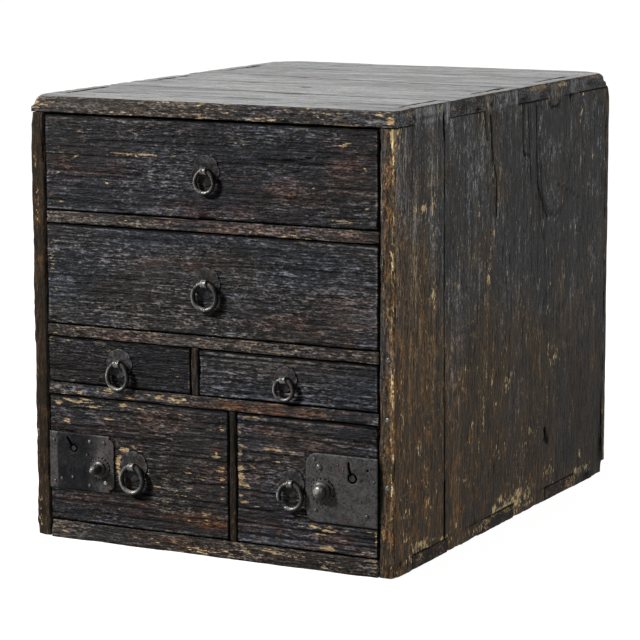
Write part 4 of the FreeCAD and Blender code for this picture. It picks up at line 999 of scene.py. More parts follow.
def back_panel():
    xs = lines(-181.6, 181.6, 4.0, extra=[-62.0, 55.0])
    zs = lines(12.0, 392.0, 4.0)
    ys = 235.0 + np.array([0, 0.4, 1.2, 2.4, 4.0, 5.6, 6.8, 7.6, 8.0])

    def erode(p, n, edge):
        back = np.clip(n[:, 1], 0, 1)
        d = np.minimum(np.abs(p[:, 0] + 62), np.abs(p[:, 0] - 55))
        return grain_relief(p, "z", 401, 0.5) + back * 1.4 * np.exp(-((d / 0.9) ** 2)) + 1.2 * edge * smooth(fbm(p, 0.06, 402, 3), 0.5, 0.75)

    def radius(p):
        corner = smooth(np.abs(p[:, 0]), 168, 179) * smooth(p[:, 2], 376, 389)
        return 0.8 + 1.2 * smooth(fbm(p, 0.05, 403, 3), 0.4, 0.8) + 4.0 * corner

    return board("zxy", zs, xs, ys, None, radius, erode)


def back_paint(part):
    p, n, edge = part["p"], part["n"], part["edge"]
    back = np.clip(n[:, 1], 0, 1)
    d = np.minimum(np.abs(p[:, 0] + 62), np.abs(p[:, 0] - 55))
    black = back * np.exp(-((d / 1.4) ** 2)) * 0.9
    pale = back * 0.25 * smooth(noise(p, (0.03, 0.03, 0.008), 411), 0.5, 0.8)
    warm = 0.35 * smooth(noise(p, (0.02, 0.02, 0.006), 412), 0.4, 0.7)
    return {"pale": pale, "warm": warm, "black": black, "grey": 0.4 * back, "edge": edge}


mesh_object("back_panel_worn", [back_panel()], "carcass", ["back_panel"], SIDE, back_paint)

# ------------------------------------------------------------------ drawers
X_IN = 167.0
FRONTS = {
    "top_drawer": (-166.4, 166.4, 302.1, 387.5),
    "second_drawer": (-166.4, 166.4, 199.1, 289.5),
    "left_small_drawer": (-166.4, -18.1, 145.6, 186.9),
    "right_small_drawer": (-9.9, 166.4, 145.6, 186.5),
    "left_lock_drawer": (-166.4, 19.7, 17.6, 133.2),
    "right_lock_drawer": (27.9, 166.4, 17.6, 133.2),
}
# centre x, z; plate radius; ring outside diameter; wire
PULLS = {
    "top_drawer": (-0.8, 345.0, 14.0, 23.5, 3.8),
    "second_drawer": (-1.0, 246.0, 14.0, 28.0, 4.6),
    "left_small_drawer": (-91.5, 167.5, 13.5, 28.0, 4.2),
    "right_small_drawer": (76.8, 167.5, 11.5, 22.0, 3.8),
    "left_lock_drawer": (-77.5, 75.0, 14.0, 28.5, 4.6),
    "right_lock_drawer": (83.0, 76.0, 12.5, 27.0, 4.2),
}


def eye_y(name):
    return Y0 - 1.6 - PULLS[name][4] / 2



# marks on each front, in row-frame x and z: pale, warm, black, grey
MARKS = {
    "top_drawer": dict(
        pale=[(-72, 356, 42, 1.6, 0.85), (-100, 353, 16, 1.2, 0.7), (-140, 351, 14, 1.3, 0.8), (-105, 330, 5, 1.2, 0.9), (-100, 341, 8, 1.0, 0.6),
              (-88, 356, 10, 1.3, 1.1), (-100, 354, 8, 1.0, 1.0), (-112, 355, 4, 0.9, 0.8), (-35, 355, 7, 0.8, 0.7), (-134, 351, 6, 1.6, 1.0), (-102, 329, 2.2, 1.8, 1.3), (-60, 342, 4, 1.3, 0.9),
              (-60, 334, 5, 0.8, 0.8), (-130, 374, 2, 1.6, 0.8), (-54, 368, 1.5, 1.2, 0.8), (104, 335, 2.2, 1.8, 1.2), (133, 373, 6, 1.8, 1.2), (146, 372, 4, 1.0, 0.9), (138, 308, 6, 1.0, 1.1),
              (-158, 316, 8, 2.6, 0.8), (-150, 306, 5, 1.4, 0.9), (-146, 318, 5, 0.8, 0.7), (152, 350, 5, 6, 0.55), (-20, 309, 40, 1.0, 0.5), (70, 306, 40, 0.9, 0.5),
              (100, 335, 6, 1.0, 0.8), (137, 373, 9, 1.4, 0.8), (135, 308, 12, 1.3, 0.8), (60, 352, 14, 1.0, 0.5), (-40, 316, 16, 1.0, 0.5),
              (-150, 322, 10, 1.2, 0.6), (-20, 305, 60, 1.4, 0.45), (60, 306, 30, 1.5, 0.5), (150, 345, 10, 1.2, 0.6), (-120, 372, 20, 1.0, 0.4), (30, 370, 14, 0.9, 0.4),
              (88, 345, 20, 1.0, 0.45), (-155, 310, 9, 3, 0.6), (155, 320, 8, 1.2, 0.6), (120, 357, 12, 0.8, 0.5)],
        warm=[(-120, 345, 40, 14, 0.5), (60, 330, 50, 12, 0.45), (140, 355, 26, 20, 0.5), (0, 310, 60, 8, 0.4)],
        black=[], grey=[(-60, 350, 80, 12, 0.15), (80, 350, 60, 10, 0.2), (0, 308, 120, 3, 0.45)],
        cracks=[([(55, 358), (80, 356), (115, 355)], 0.7, 0.8), ([(-166, 338), (-120, 339), (-60, 337)], 0.6, 0.6), ([(20, 327), (90, 325), (166, 326)], 0.6, 0.6),
                ([(-166, 312), (-90, 310), (-10, 313)], 0.6, 0.5), ([(-60, 372), (40, 374), (110, 372)], 0.6, 0.5),
                ([(-6, 303.2), (6, 303.2)], 2.2, 1.0), ([(52, 357), (84, 357.5), (104, 361)], 0.7, 1.0), ([(-166, 352), (-40, 353), (60, 352)], 0.7, 0.6),
                ([(-120, 366), (0, 367), (166, 365)], 0.7, 0.5), ([(10, 336), (90, 335), (166, 337)], 0.7, 0.5), ([(-166, 325), (-60, 324), (0, 326)], 0.7, 0.5)],
    ),
    "second_drawer": dict(
        pale=[(-161, 255, 3, 14, 0.7), (-158, 232, 4, 4, 0.6), (10, 200.6, 6, 1.0, 0.9), (27, 230.5, 3, 0.7, 1.0), (-30, 268, 5, 0.8, 0.7), (-120, 216, 8, 0.8, 0.4),
              (60, 222, 8, 0.7, 0.4), (-150, 206, 10, 1.5, 0.5), (120, 212, 12, 1.0, 0.4), (-12, 221, 3, 0.7, 0.6), (-60, 262, 10, 0.7, 0.35)],
        warm=[(-40, 262, 50, 5, 0.35), (90, 215, 40, 10, 0.3), (-3, 258, 8, 3, 0.6), (140, 225, 26, 24, 0.35)],
        black=[], grey=[(140, 240, 28, 30, 0.6), (-150, 235, 14, 30, 0.4), (-60, 260, 70, 14, 0.2), (0, 225, 120, 14, 0.2)],
        cracks=[([(12, 200), (12.5, 210)], 0.5, 0.7), ([(-166, 243), (-100, 244), (-20, 242)], 0.6, 0.6), ([(10, 262), (100, 264), (166, 263)], 0.6, 0.5),
                ([(-140, 222), (-40, 221), (60, 223)], 0.5, 0.5), ([(-166, 279), (-40, 280), (90, 278)], 0.5, 0.4)],
    ),
    "left_small_drawer": dict(
        pale=[(-36, 168, 6, 12, 0.45), (-28, 158, 5, 5, 0.4), (-120, 150, 14, 1.2, 0.5), (-100, 148, 12, 1.0, 0.5), (-60, 149, 14, 1.0, 0.5), (-150, 180, 6, 1.2, 0.4), (-150, 155, 6, 2, 0.4)],
        warm=[(-140, 165, 20, 10, 0.25)], black=[], grey=[(-36, 168, 8, 14, 0.9), (-60, 175, 26, 8, 0.4), (-130, 170, 26, 10, 0.35)],
        cracks=[([(-166, 172), (-110, 173), (-20, 172)], 0.5, 0.5), ([(-166, 158), (-90, 157), (-20, 159)], 0.5, 0.5)],
    ),
    "right_small_drawer": dict(
        pale=[(20, 148, 12, 0.9, 0.4), (120, 152, 14, 0.9, 0.4), (60, 183, 20, 0.8, 0.4), (150, 160, 8, 0.9, 0.4), (-4, 165, 3, 10, 0.3)],
        warm=[], black=[], grey=[(80, 166, 120, 20, 0.35)],
        cracks=[([(-10, z), (60, z + 0.4), (166, z - 0.2)], 0.7, 0.42) for z in (151, 156, 160.8, 166, 171, 176, 181)],
    ),
    "left_lock_drawer": dict(
        pale=[(-22, 70, 46, 28, 0.26), (-140, 128.5, 12, 1.6, 1.2), (-156, 127, 6, 3, 1.1), (-120, 126, 9, 1.2, 0.9), (-90, 129.5, 5, 2.2, 1.1), (-70, 128, 6, 1.0, 0.8), (-104, 115.5, 13, 1.1, 1.15), (-80, 115, 8, 0.8, 0.9),
              (-148, 111, 4, 3.2, 1.0), (-130, 112, 6, 1.4, 0.9), (-155, 116, 5, 1.2, 0.8), (-26, 126, 7, 1.2, 0.9), (-22, 114, 4, 1.0, 0.9), (-38, 120, 5, 0.8, 0.7), (12, 117, 5, 2.2, 1.1),
              (7, 93.5, 1.9, 3.0, 2.0), (12, 83, 4, 1.8, 1.4), (13, 72, 3, 2, 1.3), (13, 64, 3, 1.6, 1.3), (13, 54, 3, 1.4, 1.0), (-10, 87, 6, 0.8, 0.7), (-32, 81, 9, 1.6, 0.8), (-26, 75, 8, 1.2, 0.9),
              (-45, 74, 6, 1.0, 0.8), (-8, 70, 6, 0.9, 0.8), (-12, 83, 5, 0.9, 0.7), (-55, 59, 7, 1.4, 1.0), (-38, 56, 9, 1.4, 1.0), (-22, 60, 7, 1.4, 1.0), (-12, 55, 5, 2.2, 1.05), (-2, 61, 7, 0.9, 0.8),
              (-30, 46, 20, 0.8, 0.7), (-4, 38.5, 9, 1.0, 1.0), (10, 37, 6, 0.8, 0.9), (-88, 34, 3, 2.4, 0.8), (-60, 45, 10, 0.8, 0.6), (-24, 31, 6, 0.8, 0.7), (-94, 66, 2.2, 4, 1.2), (-93, 82, 3, 2, 1.1),
              (-150, 129, 14, 3, 0.7), (-120, 131, 30, 1.6, 0.5), (-105, 113.5, 40, 1.2, 0.55), (7, 92, 5, 4, 0.9), (6, 118, 9, 3.5, 0.6), (8, 104, 6, 4, 0.5),
              (10, 80, 6, 5, 0.5), (12, 60, 5, 4, 0.5), (-94.5, 76, 2.6, 5.5, 1.7), (-88, 89, 6, 2.4, 1.6), (-80, 92.5, 5, 1.2, 0.8), (-62, 83, 1.4, 4, 0.8), (-63, 70, 1.2, 5, 0.9), (-35, 53, 24, 3.2, 0.55),
              (-60, 41, 20, 1.5, 0.4), (-20, 33, 34, 4.5, 0.35), (-140, 41, 20, 1.3, 0.4), (-10, 66, 14, 1.5, 0.4), (-30, 100, 16, 1.0, 0.4), (-110, 24, 40, 2, 0.4), (-40, 20, 30, 1.6, 0.45), (0, 126, 16, 2, 0.5)],
        warm=[(-6, 30.5, 24, 5.5, 2.6), (-50, 32, 24, 3.5, 0.8), (-70, 40, 12, 3, 0.7), (4, 98, 12, 3, 0.8), (14, 80, 6, 20, 0.6), (-60, 121, 24, 4, 0.5), (-110, 104, 50, 10, 0.35), (-130, 38, 34, 8, 0.4), (-40, 118, 40, 10, 0.3), (0, 60, 16, 30, 0.3)],
        black=[(-145, 101, 6.5, 0.9, 1.2), (-97, 50, 1.6, 3, 0.5)], grey=[(-35, 60, 40, 14, 0.8), (-20, 95, 40, 14, 0.45), (-120, 115, 40, 10, 0.4)],
        cracks=[([(-97, 107), (-40, 106), (19, 108)], 0.6, 0.6), ([(-60, 74), (-20, 73), (19, 75)], 0.5, 0.5), ([(-166, 44.5), (-80, 45.5), (19, 44)], 0.6, 0.7),
                ([(-140, 28), (-40, 27), (19, 28)], 0.5, 0.5), ([(-60, 92), (-10, 93), (19, 92)], 0.5, 0.5),
                ([(-166, 123), (-90, 122), (19, 121)], 0.7, 0.8), ([(-166, 106), (-100, 107)], 0.8, 0.8), ([(-96, 50), (-30, 50.5), (19, 49)], 0.8, 0.9), ([(-56, 66), (-20, 65), (19, 67)], 0.7, 0.8),
                ([(-60, 88), (-20, 89), (19, 87)], 0.7, 0.7), ([(-166, 36.5), (-100, 37), (-64, 36)], 0.8, 0.8), ([(-166, 24), (-90, 23.5)], 0.7, 0.6), ([(-98, 100), (-60, 99), (-30, 100)], 0.7, 0.7)],
    ),
    "right_lock_drawer": dict(
        pale=[(31.5, 84.5, 3.2, 2.4, 1.8), (32, 76.5, 3.4, 2.4, 1.8), (35, 69.5, 5.5, 2.6, 1.9), (31, 60, 3, 1.6, 1.6), (35, 54, 5, 1.8, 1.7), (31, 98, 3, 5, 1.3), (31, 115, 3, 4, 0.9), (32, 104.5, 4, 1.6, 1.1), (60, 104.5, 12, 1.0, 0.9), (84, 104, 8, 0.8, 0.8), (33, 84, 3.5, 1.6, 1.2), (32, 78.5, 3, 1.4, 1.2), (37, 70, 4.5, 2.4, 1.35), (31, 72, 3, 1.6, 1.1),
              (33, 61, 2.6, 1.2, 1.0), (34, 54, 4, 2.2, 1.2), (48, 51, 4, 0.9, 1.0), (60, 79, 5, 0.8, 0.8), (48, 76, 5, 1.0, 0.8), (31, 92, 2, 2, 0.8), (44, 87, 6, 0.8, 0.8), (35, 41, 6, 0.8, 0.9),
              (116, 37.5, 9, 2.4, 1.2), (101, 40, 6, 1.4, 1.1), (136, 39, 10, 1.2, 1.0), (155, 40, 8, 1.0, 0.9), (110, 34, 6, 1.0, 1.0), (150, 30, 10, 0.8, 0.8), (118, 21.5, 8, 2.0, 1.35),
              (60, 130, 12, 0.9, 0.8), (90, 128, 14, 0.7, 0.7), (120, 114, 12, 0.7, 0.7), (55, 112, 7, 0.9, 0.8), (164, 36, 1.2, 10, 0.9), (155, 21, 8, 1.4, 1.0), (50, 22, 8, 1.0, 0.8), (78, 60, 3, 0.8, 0.6),
              (33, 103, 8, 1.6, 0.8), (33, 82, 5, 1.6, 0.7), (36, 69, 7, 4, 0.85), (33, 55, 5, 1.5, 0.7), (45, 131, 10, 1.6, 0.8), (75, 103.5, 20, 1.4, 0.7), (120, 39, 22, 3.5, 0.85), (100, 40, 10, 2, 0.6),
              (150, 41, 14, 2, 0.6), (118, 21.5, 7, 2.5, 0.8), (150, 22, 12, 2, 0.5), (60, 92, 14, 1.3, 0.5), (50, 78, 12, 1.2, 0.5), (60, 60, 14, 1.5, 0.5), (40, 30, 12, 2, 0.55), (70, 26, 20, 1.6, 0.5),
              (60, 118, 26, 1.4, 0.5), (120, 122, 30, 1.4, 0.4), (156, 118, 8, 3, 0.4), (88, 48, 20, 1.2, 0.5)],
        warm=[(45, 31, 22, 3.0, 1.0), (140, 131, 24, 2.4, 1.0), (120, 20, 40, 2.5, 0.7), (60, 120, 30, 5, 0.5), (60, 34, 30, 8, 0.4), (130, 30, 30, 10, 0.4), (45, 60, 16, 40, 0.3), (90, 112, 50, 12, 0.3)],
        black=[], grey=[(60, 100, 36, 24, 0.6), (110, 118, 46, 12, 0.45), (70, 30, 40, 10, 0.4)],
        cracks=[([(28, 96), (60, 97), (95, 96)], 0.6, 0.6), ([(28, 112), (90, 113), (166, 111)], 0.6, 0.6), ([(28, 86), (70, 87)], 0.5, 0.5),
                ([(28, 44), (90, 43.6), (166, 43)], 0.7, 0.8), ([(28, 122), (100, 121), (166, 123)], 0.5, 0.5), ([(28, 71), (64, 70.5)], 0.5, 0.5),
                ([(28, 126), (70, 126), (110, 121), (166, 117)], 0.8, 0.9), ([(28, 99), (60, 100), (95, 99)], 0.8, 0.8), ([(28, 90), (66, 91)], 0.8, 0.8), ([(28, 80.5), (66, 81)], 0.7, 0.8),
                ([(28, 65), (66, 64.5)], 0.8, 0.9), ([(28, 49), (66, 48)], 0.8, 0.9), ([(28, 36), (100, 35), (166, 34)], 0.8, 0.8), ([(28, 27), (90, 26), (166, 27)], 0.8, 0.8),
                ([(40, 117), (100, 116), (150, 109)], 0.7, 0.6)],
    ),
}
# brightness (natural log of a factor) and brownness of each front
SHADE = {
    "top_drawer": (0.05, -0.1), "second_drawer": (0.34, 0.1), "left_small_drawer": (-1.05, -0.1), "right_small_drawer": (0.50, 0.0),
    "left_lock_drawer": (-0.10, 0.2), "right_lock_drawer": (0.27, 0.05),
}
LOCKS = {
    "left_lock_drawer": dict(tag="left", s=-1, kx=-112.5, kz=70.0, px=-140.3, pz=85.8, pr=2.3, bz=72.8, bh=8.2),
    "right_lock_drawer": dict(tag="right", s=1, kx=113.3, kz=72.4, px=142.0, pz=86.2, pr=2.8, bz=75.0, bh=7.5),
}


def front_board(name, seed):
    x0, x1, z0, z1 = FRONTS[name]
    cuts, ex, ez, ew = [], [], [], [Y0 + 11.0]
    inner_top = z1 - 5
    cuts += [(z0 - 1, inner_top, x0 - 1, x0 + 8, Y0 + 11, Y0 + 16), (z0 - 1, inner_top, x1 - 8, x1 + 1, Y0 + 11, Y0 + 16)]
    ex += [x0 + 8, x1 - 8]
    ez += [inner_top]
    lk = LOCKS.get(name)
    if lk:
        s = lk["s"]
        outer, inner = s * 158.3, lk["kx"] - s * 11.5
        cx0, cx1 = min(outer, inner), max(outer, inner)
        cz0, cz1 = lk["kz"] - 9.5, lk["pz"] + 8.2
        cuts.append((cz0, cz1, cx0, cx1, Y0 + 5, Y0 + 16))
        sx0, sx1 = (x0 - 1, cx0) if s < 0 else (cx1, x1 + 1)
        cuts.append((lk["bz"] - 0.4, lk["bz"] + lk["bh"] + 0.4, sx0, sx1, Y0 + 7.4, Y0 + 10.7))
        hr = lk["pr"] + 2.0
        cuts.append((lk["pz"] - hr, lk["pz"] + hr, lk["px"] - hr, lk["px"] + hr, Y0 - 1, Y0 + 5))
        dx, dz = (-7.4, 9.6) if s < 0 else (-4.0, 13.6)
        cuts.append((lk["pz"] + hr, lk["pz"] + dz, lk["px"] + dx, lk["px"] + 1.6, Y0 - 1, Y0 + 5))
        cuts.append((lk["kz"] - 3, lk["kz"] + 3, lk["kx"] - 3, lk["kx"] + 3, Y0 - 1, Y0 + 5))
        ex += [cx0, cx1, lk["px"] - hr, lk["px"] + hr, lk["px"] + dx, lk["px"] + 1.6, lk["kx"] - 3, lk["kx"] + 3]
        ez += [cz0, cz1, lk["pz"] - hr, lk["pz"] + hr, lk["pz"] + dz, lk["kz"] - 3, lk["kz"] + 3, lk["bz"] - 0.4, lk["bz"] + lk["bh"] + 0.4]
        ew += [Y0 + 5, Y0 + 7.4, Y0 + 10.7]
    zs = lines(z0, z1, 1.35, extra=[])
    xs = lines(x0, x1, 1.35, extra=[])
    zs = np.unique(np.round(np.concatenate([zs, ez]), 4))
    xs = np.unique(np.round(np.concatenate([xs, ex]), 4))
    ys = np.unique(np.round(np.concatenate([Y0 + np.array([0, 0.35, 0.8, 1.4, 2.2, 3.4, 9.2, 12.4, 13.4, 14.2, 14.7, 15.0]), ew]), 4))

    def radius(p):
        w = fbm(p, (0.03, 0.05, 0.05), seed, 3)
        r = 0.9 + 1.7 * smooth(w, 0.35, 0.75)
        if name == "right_lock_drawer":
            r = r + 3.0 * smooth(p[:, 0], 150, 164) * smooth(p[:, 2], 120, 131)
        return np.where(p[:, 1] > Y0 + 8, 0.5, r)

    def erode(p, n, edge):
        x, z = p[:, 0], p[:, 2]
        frontal = np.clip(-n[:, 1], 0, 1)
        ridge = 0.75 if name == "right_small_drawer" else 0.45
        f = 0.18 if name == "right_small_drawer" else 0.26
        out = ridge * fbm(p, (0.004, 0.1, f), seed + 1, 3) + 0.18 * noise(p, (0.02, 0.3, 0.7), seed + 2)
        m = MARKS[name]
        out = out + frontal * stroke(x, z, [(pts, w * 0.8, d) for pts, w, d in m["cracks"]]) * 0.9
        out = out + frontal * np.clip(blob(x, z, m["pale"]), 0, 1) * 0.35
        out = out + 1.2 * edge * smooth(fbm(p, (0.06, 0.1, 0.12), seed + 3, 3), 0.56, 0.74)
        if name == "right_small_drawer":
            for zg in (151, 156, 160.8, 166, 171, 176, 181):
                out = out + frontal * 0.5 * np.exp(-(((z - zg) / 0.9) ** 2))
        return np.where(p[:, 1] > Y0 + 8, 0.05, out)

    return board("zxy", zs, xs, ys, None, radius, erode, cuts)


def front_paint(name, seed):
    def paint(part):
        p, n, edge = part["p"], part["n"], part["edge"]
        x, z = p[:, 0], p[:, 2]
        frontal = np.clip(-n[:, 1], 0, 1)
        m = MARKS[name]
        tone0, brown0 = SHADE[name]
        cx, cz, pr, od, wire = PULLS[name]
        pale = frontal * blob(x, z, m["pale"])
        warm = frontal * (0.03 + 0.8 * blob(x, z, m["warm"]))
        grey = frontal * (0.35 + blob(x, z, m["grey"]) + 0.2 * smooth(noise(p, (0.012, 0.1, 0.03), seed + 8), 0.45, 0.7))
        black = frontal * (stroke(x, z, [(pts, w * 1.25, s) for pts, w, s in m["cracks"]]) + blob(x, z, m["black"]))
        # the coat is worn round the plate
        rr = np.hypot(x - cx, z - cz)
        pale += frontal * 0.35 * np.exp(-(((rr - pr - 1.2) / 1.6) ** 2)) * smooth(noise(p, 0.15, seed + 9), 0.45, 0.7)
        black += frontal * np.exp(-(((rr - pr) / 0.8) ** 2)) * 0.35
        # painted shade on the front's edge faces inside the gaps
        black += (1 - frontal) * 0.55 * (p[:, 1] < Y0 + 3)
        rim = np.minimum(np.minimum(x - FRONTS[name][0], FRONTS[name][1] - x), np.minimum(z - FRONTS[name][2], FRONTS[name][3] - z))
        pale += frontal * 0.22 * np.exp(-((rim / 2.2) ** 2)) * smooth(noise(p, (0.03, 0.03, 0.05), seed + 11), 0.45, 0.7)
        # painted shade: dark bands along the top, bottom and side edges of the front, where the gaps are
        black += frontal * 1.0 * np.exp(-((np.clip(FRONTS[name][3] - z, 0, 99) / 1.4) ** 2))
        black += frontal * 0.8 * np.exp(-((np.clip(z - FRONTS[name][2], 0, 99) / 0.9) ** 2))
        black += frontal * 0.9 * np.exp(-((np.minimum(x - FRONTS[name][0], FRONTS[name][1] - x) / 1.0) ** 2))
        # painted shadow of the ring: a dark band offset down and to the right of where the ring hangs
        rm = (od - wire) / 2
        dx, dz = x - cx - 3.6, z - (cz - rm) + 3.4
        around = np.abs(np.hypot(dx, dz) - rm - 0.6)
        black += frontal * 0.62 * np.exp(-((around / (wire * 0.55)) ** 2)) * smooth(dx - dz, -3.0, 7.0)
        grey += frontal * 1.0 * np.exp(-(((rim - 2.4) / 1.0) ** 2)) * smooth(noise(p, (0.03, 0.03, 0.05), seed + 12), 0.30, 0.55)
        # partly rubbed coat and partly painted highlight: light lines just inside the right and top edges, carried in
        # the edge mask
        rim_r = np.exp(-(((FRONTS[name][1] - x - 2.0) / 1.0) ** 2)) * smooth(noise(p, (0.02, 0.02, 0.06), seed + 14), 0.25, 0.5)
        rim_t = np.exp(-(((FRONTS[name][3] - z - 2.3) / 0.9) ** 2)) * smooth(noise(p, (0.03, 0.02, 0.02), seed + 15), 0.35, 0.6)
        edge = np.maximum(edge, frontal * np.maximum(0.85 * rim_r, 0.75 * rim_t))
        lk = LOCKS.get(name)
        if lk:
            if lk["s"] < 0:
                inside = (x < -97) & (z > 46.5) & (z < 100.6)
                ghost = stroke(x, z, [([(-110, 103), (-101, 102), (-95.5, 96), (-94, 88)], 0.8, 0.6)])
                grey = np.clip(grey + ghost, 0, 1.4)
            else:
                inside = (x > 95.7) & (z > 43.5) & (z < 106.5)
                grey = np.clip(grey + stroke(x, z, [([(108, 106.6), (166, 106.6)], 0.7, 0.5)]), 0, 1.4)
            black += frontal * inside * 0.5
        deep = p[:, 1] > Y0 + 4
        bare = np.where(deep, 1.0, 0.0)
        return {"pale": np.clip(pale, 0, 1.25) * (1 - bare), "warm": np.clip(warm, 0, 1), "black": np.clip(black, 0, 1) * (1 - bare),
                "grey": np.clip(grey, 0, 1.3), "edge": edge * (1 - bare), "bare": bare, "tone": np.full(len(x), tone0),
                "brown": np.full(len(x), brown0)}

    return paint


def coarse(axes, u, v, w, step, seed):
    def ero(p, n, edge):
        return 0.05 + 0.18 * fbm(p, 0.05, seed, 2)

    us, vs, ws = (lines(a, b, step) for a, b in (u, v, w))
    return board(axes, us, vs, ws, None, 0.5, ero)


for k_, (name, (x0, x1, z0, z1)) in enumerate(FRONTS.items()):
    mesh_object(name + "_front_worn", [front_board(name, 500 + 20 * k_)], name, [name + "_front"], FRONT, front_paint(name, 500 + 20 * k_))
    zt = z1 - 5
    mesh_object(name + "_box_sides",
                [coarse("yzx", (Y0 + 11, 225.0), (z0 + 6, zt), (a, a + 8), 9.0, 700 + k_) for a in (x0, x1 - 8)],
                name, [name + "_sides"], INSIDE_Y)
    mesh_object(name + "_box_back", [coarse("zxy", (z0 + 6, zt - 3), (x0 + 8, x1 - 8), (217.0, 225.0), 9.0, 720 + k_)],
                name, [name + "_back"], INSIDE_X)
    mesh_object(name + "_box_bottom", [coarse("xyz", (x0, x1), (Y0 + 11, 225.0), (z0, z0 + 6), 9.0, 740 + k_)],
                name, [name + "_bottom"], INSIDE_X)


# ------------------------------------------------------------------ ironwork
def outward(part):
    """Turns a closed part's faces outwards."""
    q, f = part["q"], part["faces"]
    vol = 0.0
    for poly in f:
        a = q[poly[0]]
        for b, c in zip(poly[1:-1], poly[2:]):
            vol += float(np.dot(a, np.cross(q[b], q[c])))
    if vol < 0:
        part["faces"] = [list(poly)[::-1] for poly in f]
    return part


def sweep(rows, around_closed=True, along_closed=False, caps=True):
    """Joins rows of points (each M x 3) into a closed surface."""
    rows = np.asarray(rows)
    n, m = rows.shape[:2]
    faces = []
    for i in range(n if along_closed else n - 1):
        a, b = i * m, ((i + 1) % n) * m
        for j in range(m):
            k = (j + 1) % m
            faces.append([a + j, b + j, b + k, a + k])
    if not along_closed and caps:
        faces.append(list(range(m)))
        faces.append([(n - 1) * m + j for j in range(m)][::-1])
    return outward({"q": rows.reshape(-1, 3), "faces": faces})


def lathe(profile, at, n=36, closed=False, wobble=0.0, seed=0, squash=None):
    """Turns (radius, height towards the viewer) round the -Y axis through at."""
    th = np.linspace(0, 2 * math.pi, n, endpoint=False)
    rows = []
    for r, h in profile:
        ring = np.stack([at[0] + r * np.cos(th), np.full(n, at[1] - h), at[2] + r * np.sin(th)], 1)
        rows.append(ring)
    rows = np.asarray(rows)
    if wobble:
        flat = rows.reshape(-1, 3)
        d = flat - np.array(at)
        rad = np.hypot(d[:, 0], d[:, 2])
        f = 1 - wobble * fbm(flat, 0.6, seed, 2) * (rad > 0.05)
        flat[:, 0] = at[0] + d[:, 0] * f
        flat[:, 2] = at[2] + d[:, 2] * f
        rows = flat.reshape(rows.shape)
    return sweep(rows, along_closed=closed)


def curve(points, n):
    """Smooth profile through (radius, height) points."""
    pts = np.array(points, float)
    d = np.concatenate([[0], np.cumsum(np.hypot(*np.diff(pts, axis=0).T))])
    t = np.linspace(0, d[-1], n)
    out = []
    for c in range(2):
        y = pts[:, c]
        m = np.gradient(y, d)
        i = np.clip(np.searchsorted(d, t, side="right") - 1, 0, len(d) - 2)
        h = d[i + 1] - d[i]
        s = (t - d[i]) / h
        out.append((2 * s**3 - 3 * s**2 + 1) * y[i] + (s**3 - 2 * s**2 + s) * h * m[i] + (-2 * s**3 + 3 * s**2) * y[i + 1] + (s**3 - s**2) * h * m[i + 1])
    return np.stack(out, 1)


def tint(part, **values):
    count = len(part["q"])
    part["attrs"] = {k: (v if isinstance(v, np.ndarray) else np.full(count, float(v))) for k, v in values.items()}
    return part


RING_SHAPE = {
    # hammering, facets, sideways squeeze, pear shape
    "top_drawer": (0.10, 7, 0.94, 0.10),
    "second_drawer": (0.05, 9, 1.0, 0.0),
    "left_small_drawer": (0.05, 0, 0.86, 0.03),
    "right_small_drawer": (0.05, 0, 1.0, 0.0),
    "left_lock_drawer": (0.06, 0, 0.93, 0.04),
    "right_lock_drawer": (0.05, 0, 1.0, 0.0),
}


def ring(name, seed):
    cx, cz, pr, od, wire = PULLS[name]
    ham, facets, squeeze, pear = RING_SHAPE[name]
    rm = (od - wire) / 2
    zc = cz - rm + 0.16
    ye = eye_y(name)
    gap = 30.0 if name == "right_lock_drawer" else 0.0
    n = 132
    if gap:
        a = np.radians(np.linspace(222 + gap / 2, 222 - gap / 2 + 360, n))
    else:
        a = np.linspace(0, 2 * math.pi, n, endpoint=False)
    b = np.linspace(0, 2 * math.pi, 22, endpoint=False)
    rows = []
    for i, t in enumerate(a):
        c = np.array([math.cos(t), 0, math.sin(t)])
        top = max(0.0, math.sin(t))
        wide = squeeze - pear * max(0.0, math.sin(t)) * (1 - top) * 1.6
        wide = wide + (1 - wide) * smooth(np.array([top]), 0.85, 0.99)[0]
        centre = np.array([cx + rm * c[0] * wide, ye, zc + rm * c[2]])
        w = wire / 2
        if gap:
            d = min(i, n - 1 - i) * rm * (a[1] - a[0])
            w *= math.sqrt(max(0.02, 1 - max(0.0, 1 - d / (wire * 0.55)) ** 2))
        pt = centre + w * (np.cos(b)[:, None] * c + np.sin(b)[:, None] * np.array([0, 1.0, 0]))
        rows.append(pt)
    rows = np.asarray(rows)
    flat = rows.reshape(-1, 3)
    mid = np.repeat(rows.mean(1), len(b), 0)
    f = 1 - ham * fbm(flat, 0.35, seed, 3)
    if facets:
        ang = np.repeat(a, len(b))
        f -= 0.05 * np.abs(np.cos(ang * facets * 1.5))
    # the wire's section is squeezed by the hammering noise and the facets
    flat = mid + (flat - mid) * f[:, None]
    part = sweep(flat.reshape(rows.shape), along_closed=not gap)
    # painted highlight on the side facing the upper-left light, brighter at the lower left where it is handled too;
    # painted shade on the side turned away from the light
    ang = np.repeat(a, len(b))
    facing = np.tile(np.cos(b), len(a)) * np.cos(ang - math.radians(138))
    handled_and_lit = smooth(np.cos(ang - math.radians(228)), -0.25, 0.75)
    lit = (0.22 + 0.70 * handled_and_lit) * (0.55 + 0.6 * smooth(fbm(flat, 0.25, seed + 3, 3), 0.40, 0.65)) * smooth(facing, -0.40, 0.50)
    rust = smooth(fbm(flat, 0.2, seed + 5, 3), 0.50, 0.66) * 0.5
    parts = [tint(part, shine=np.clip(lit, 0, 1), rust=rust, black=0.9 * smooth(-facing, -0.20, 0.60))]
    if name == "second_drawer":
        bead = lathe([(0.05, 2.4), (1.1, 2.2), (1.7, 1.5), (1.7, -1.5), (1.1, -2.2), (0.05, -2.4)], (cx + 0.4, ye, zc - rm + 0.35), 14, wobble=0.2, seed=seed)
        parts.append(tint(bead, shine=0.8, rust=0.1))
    return parts


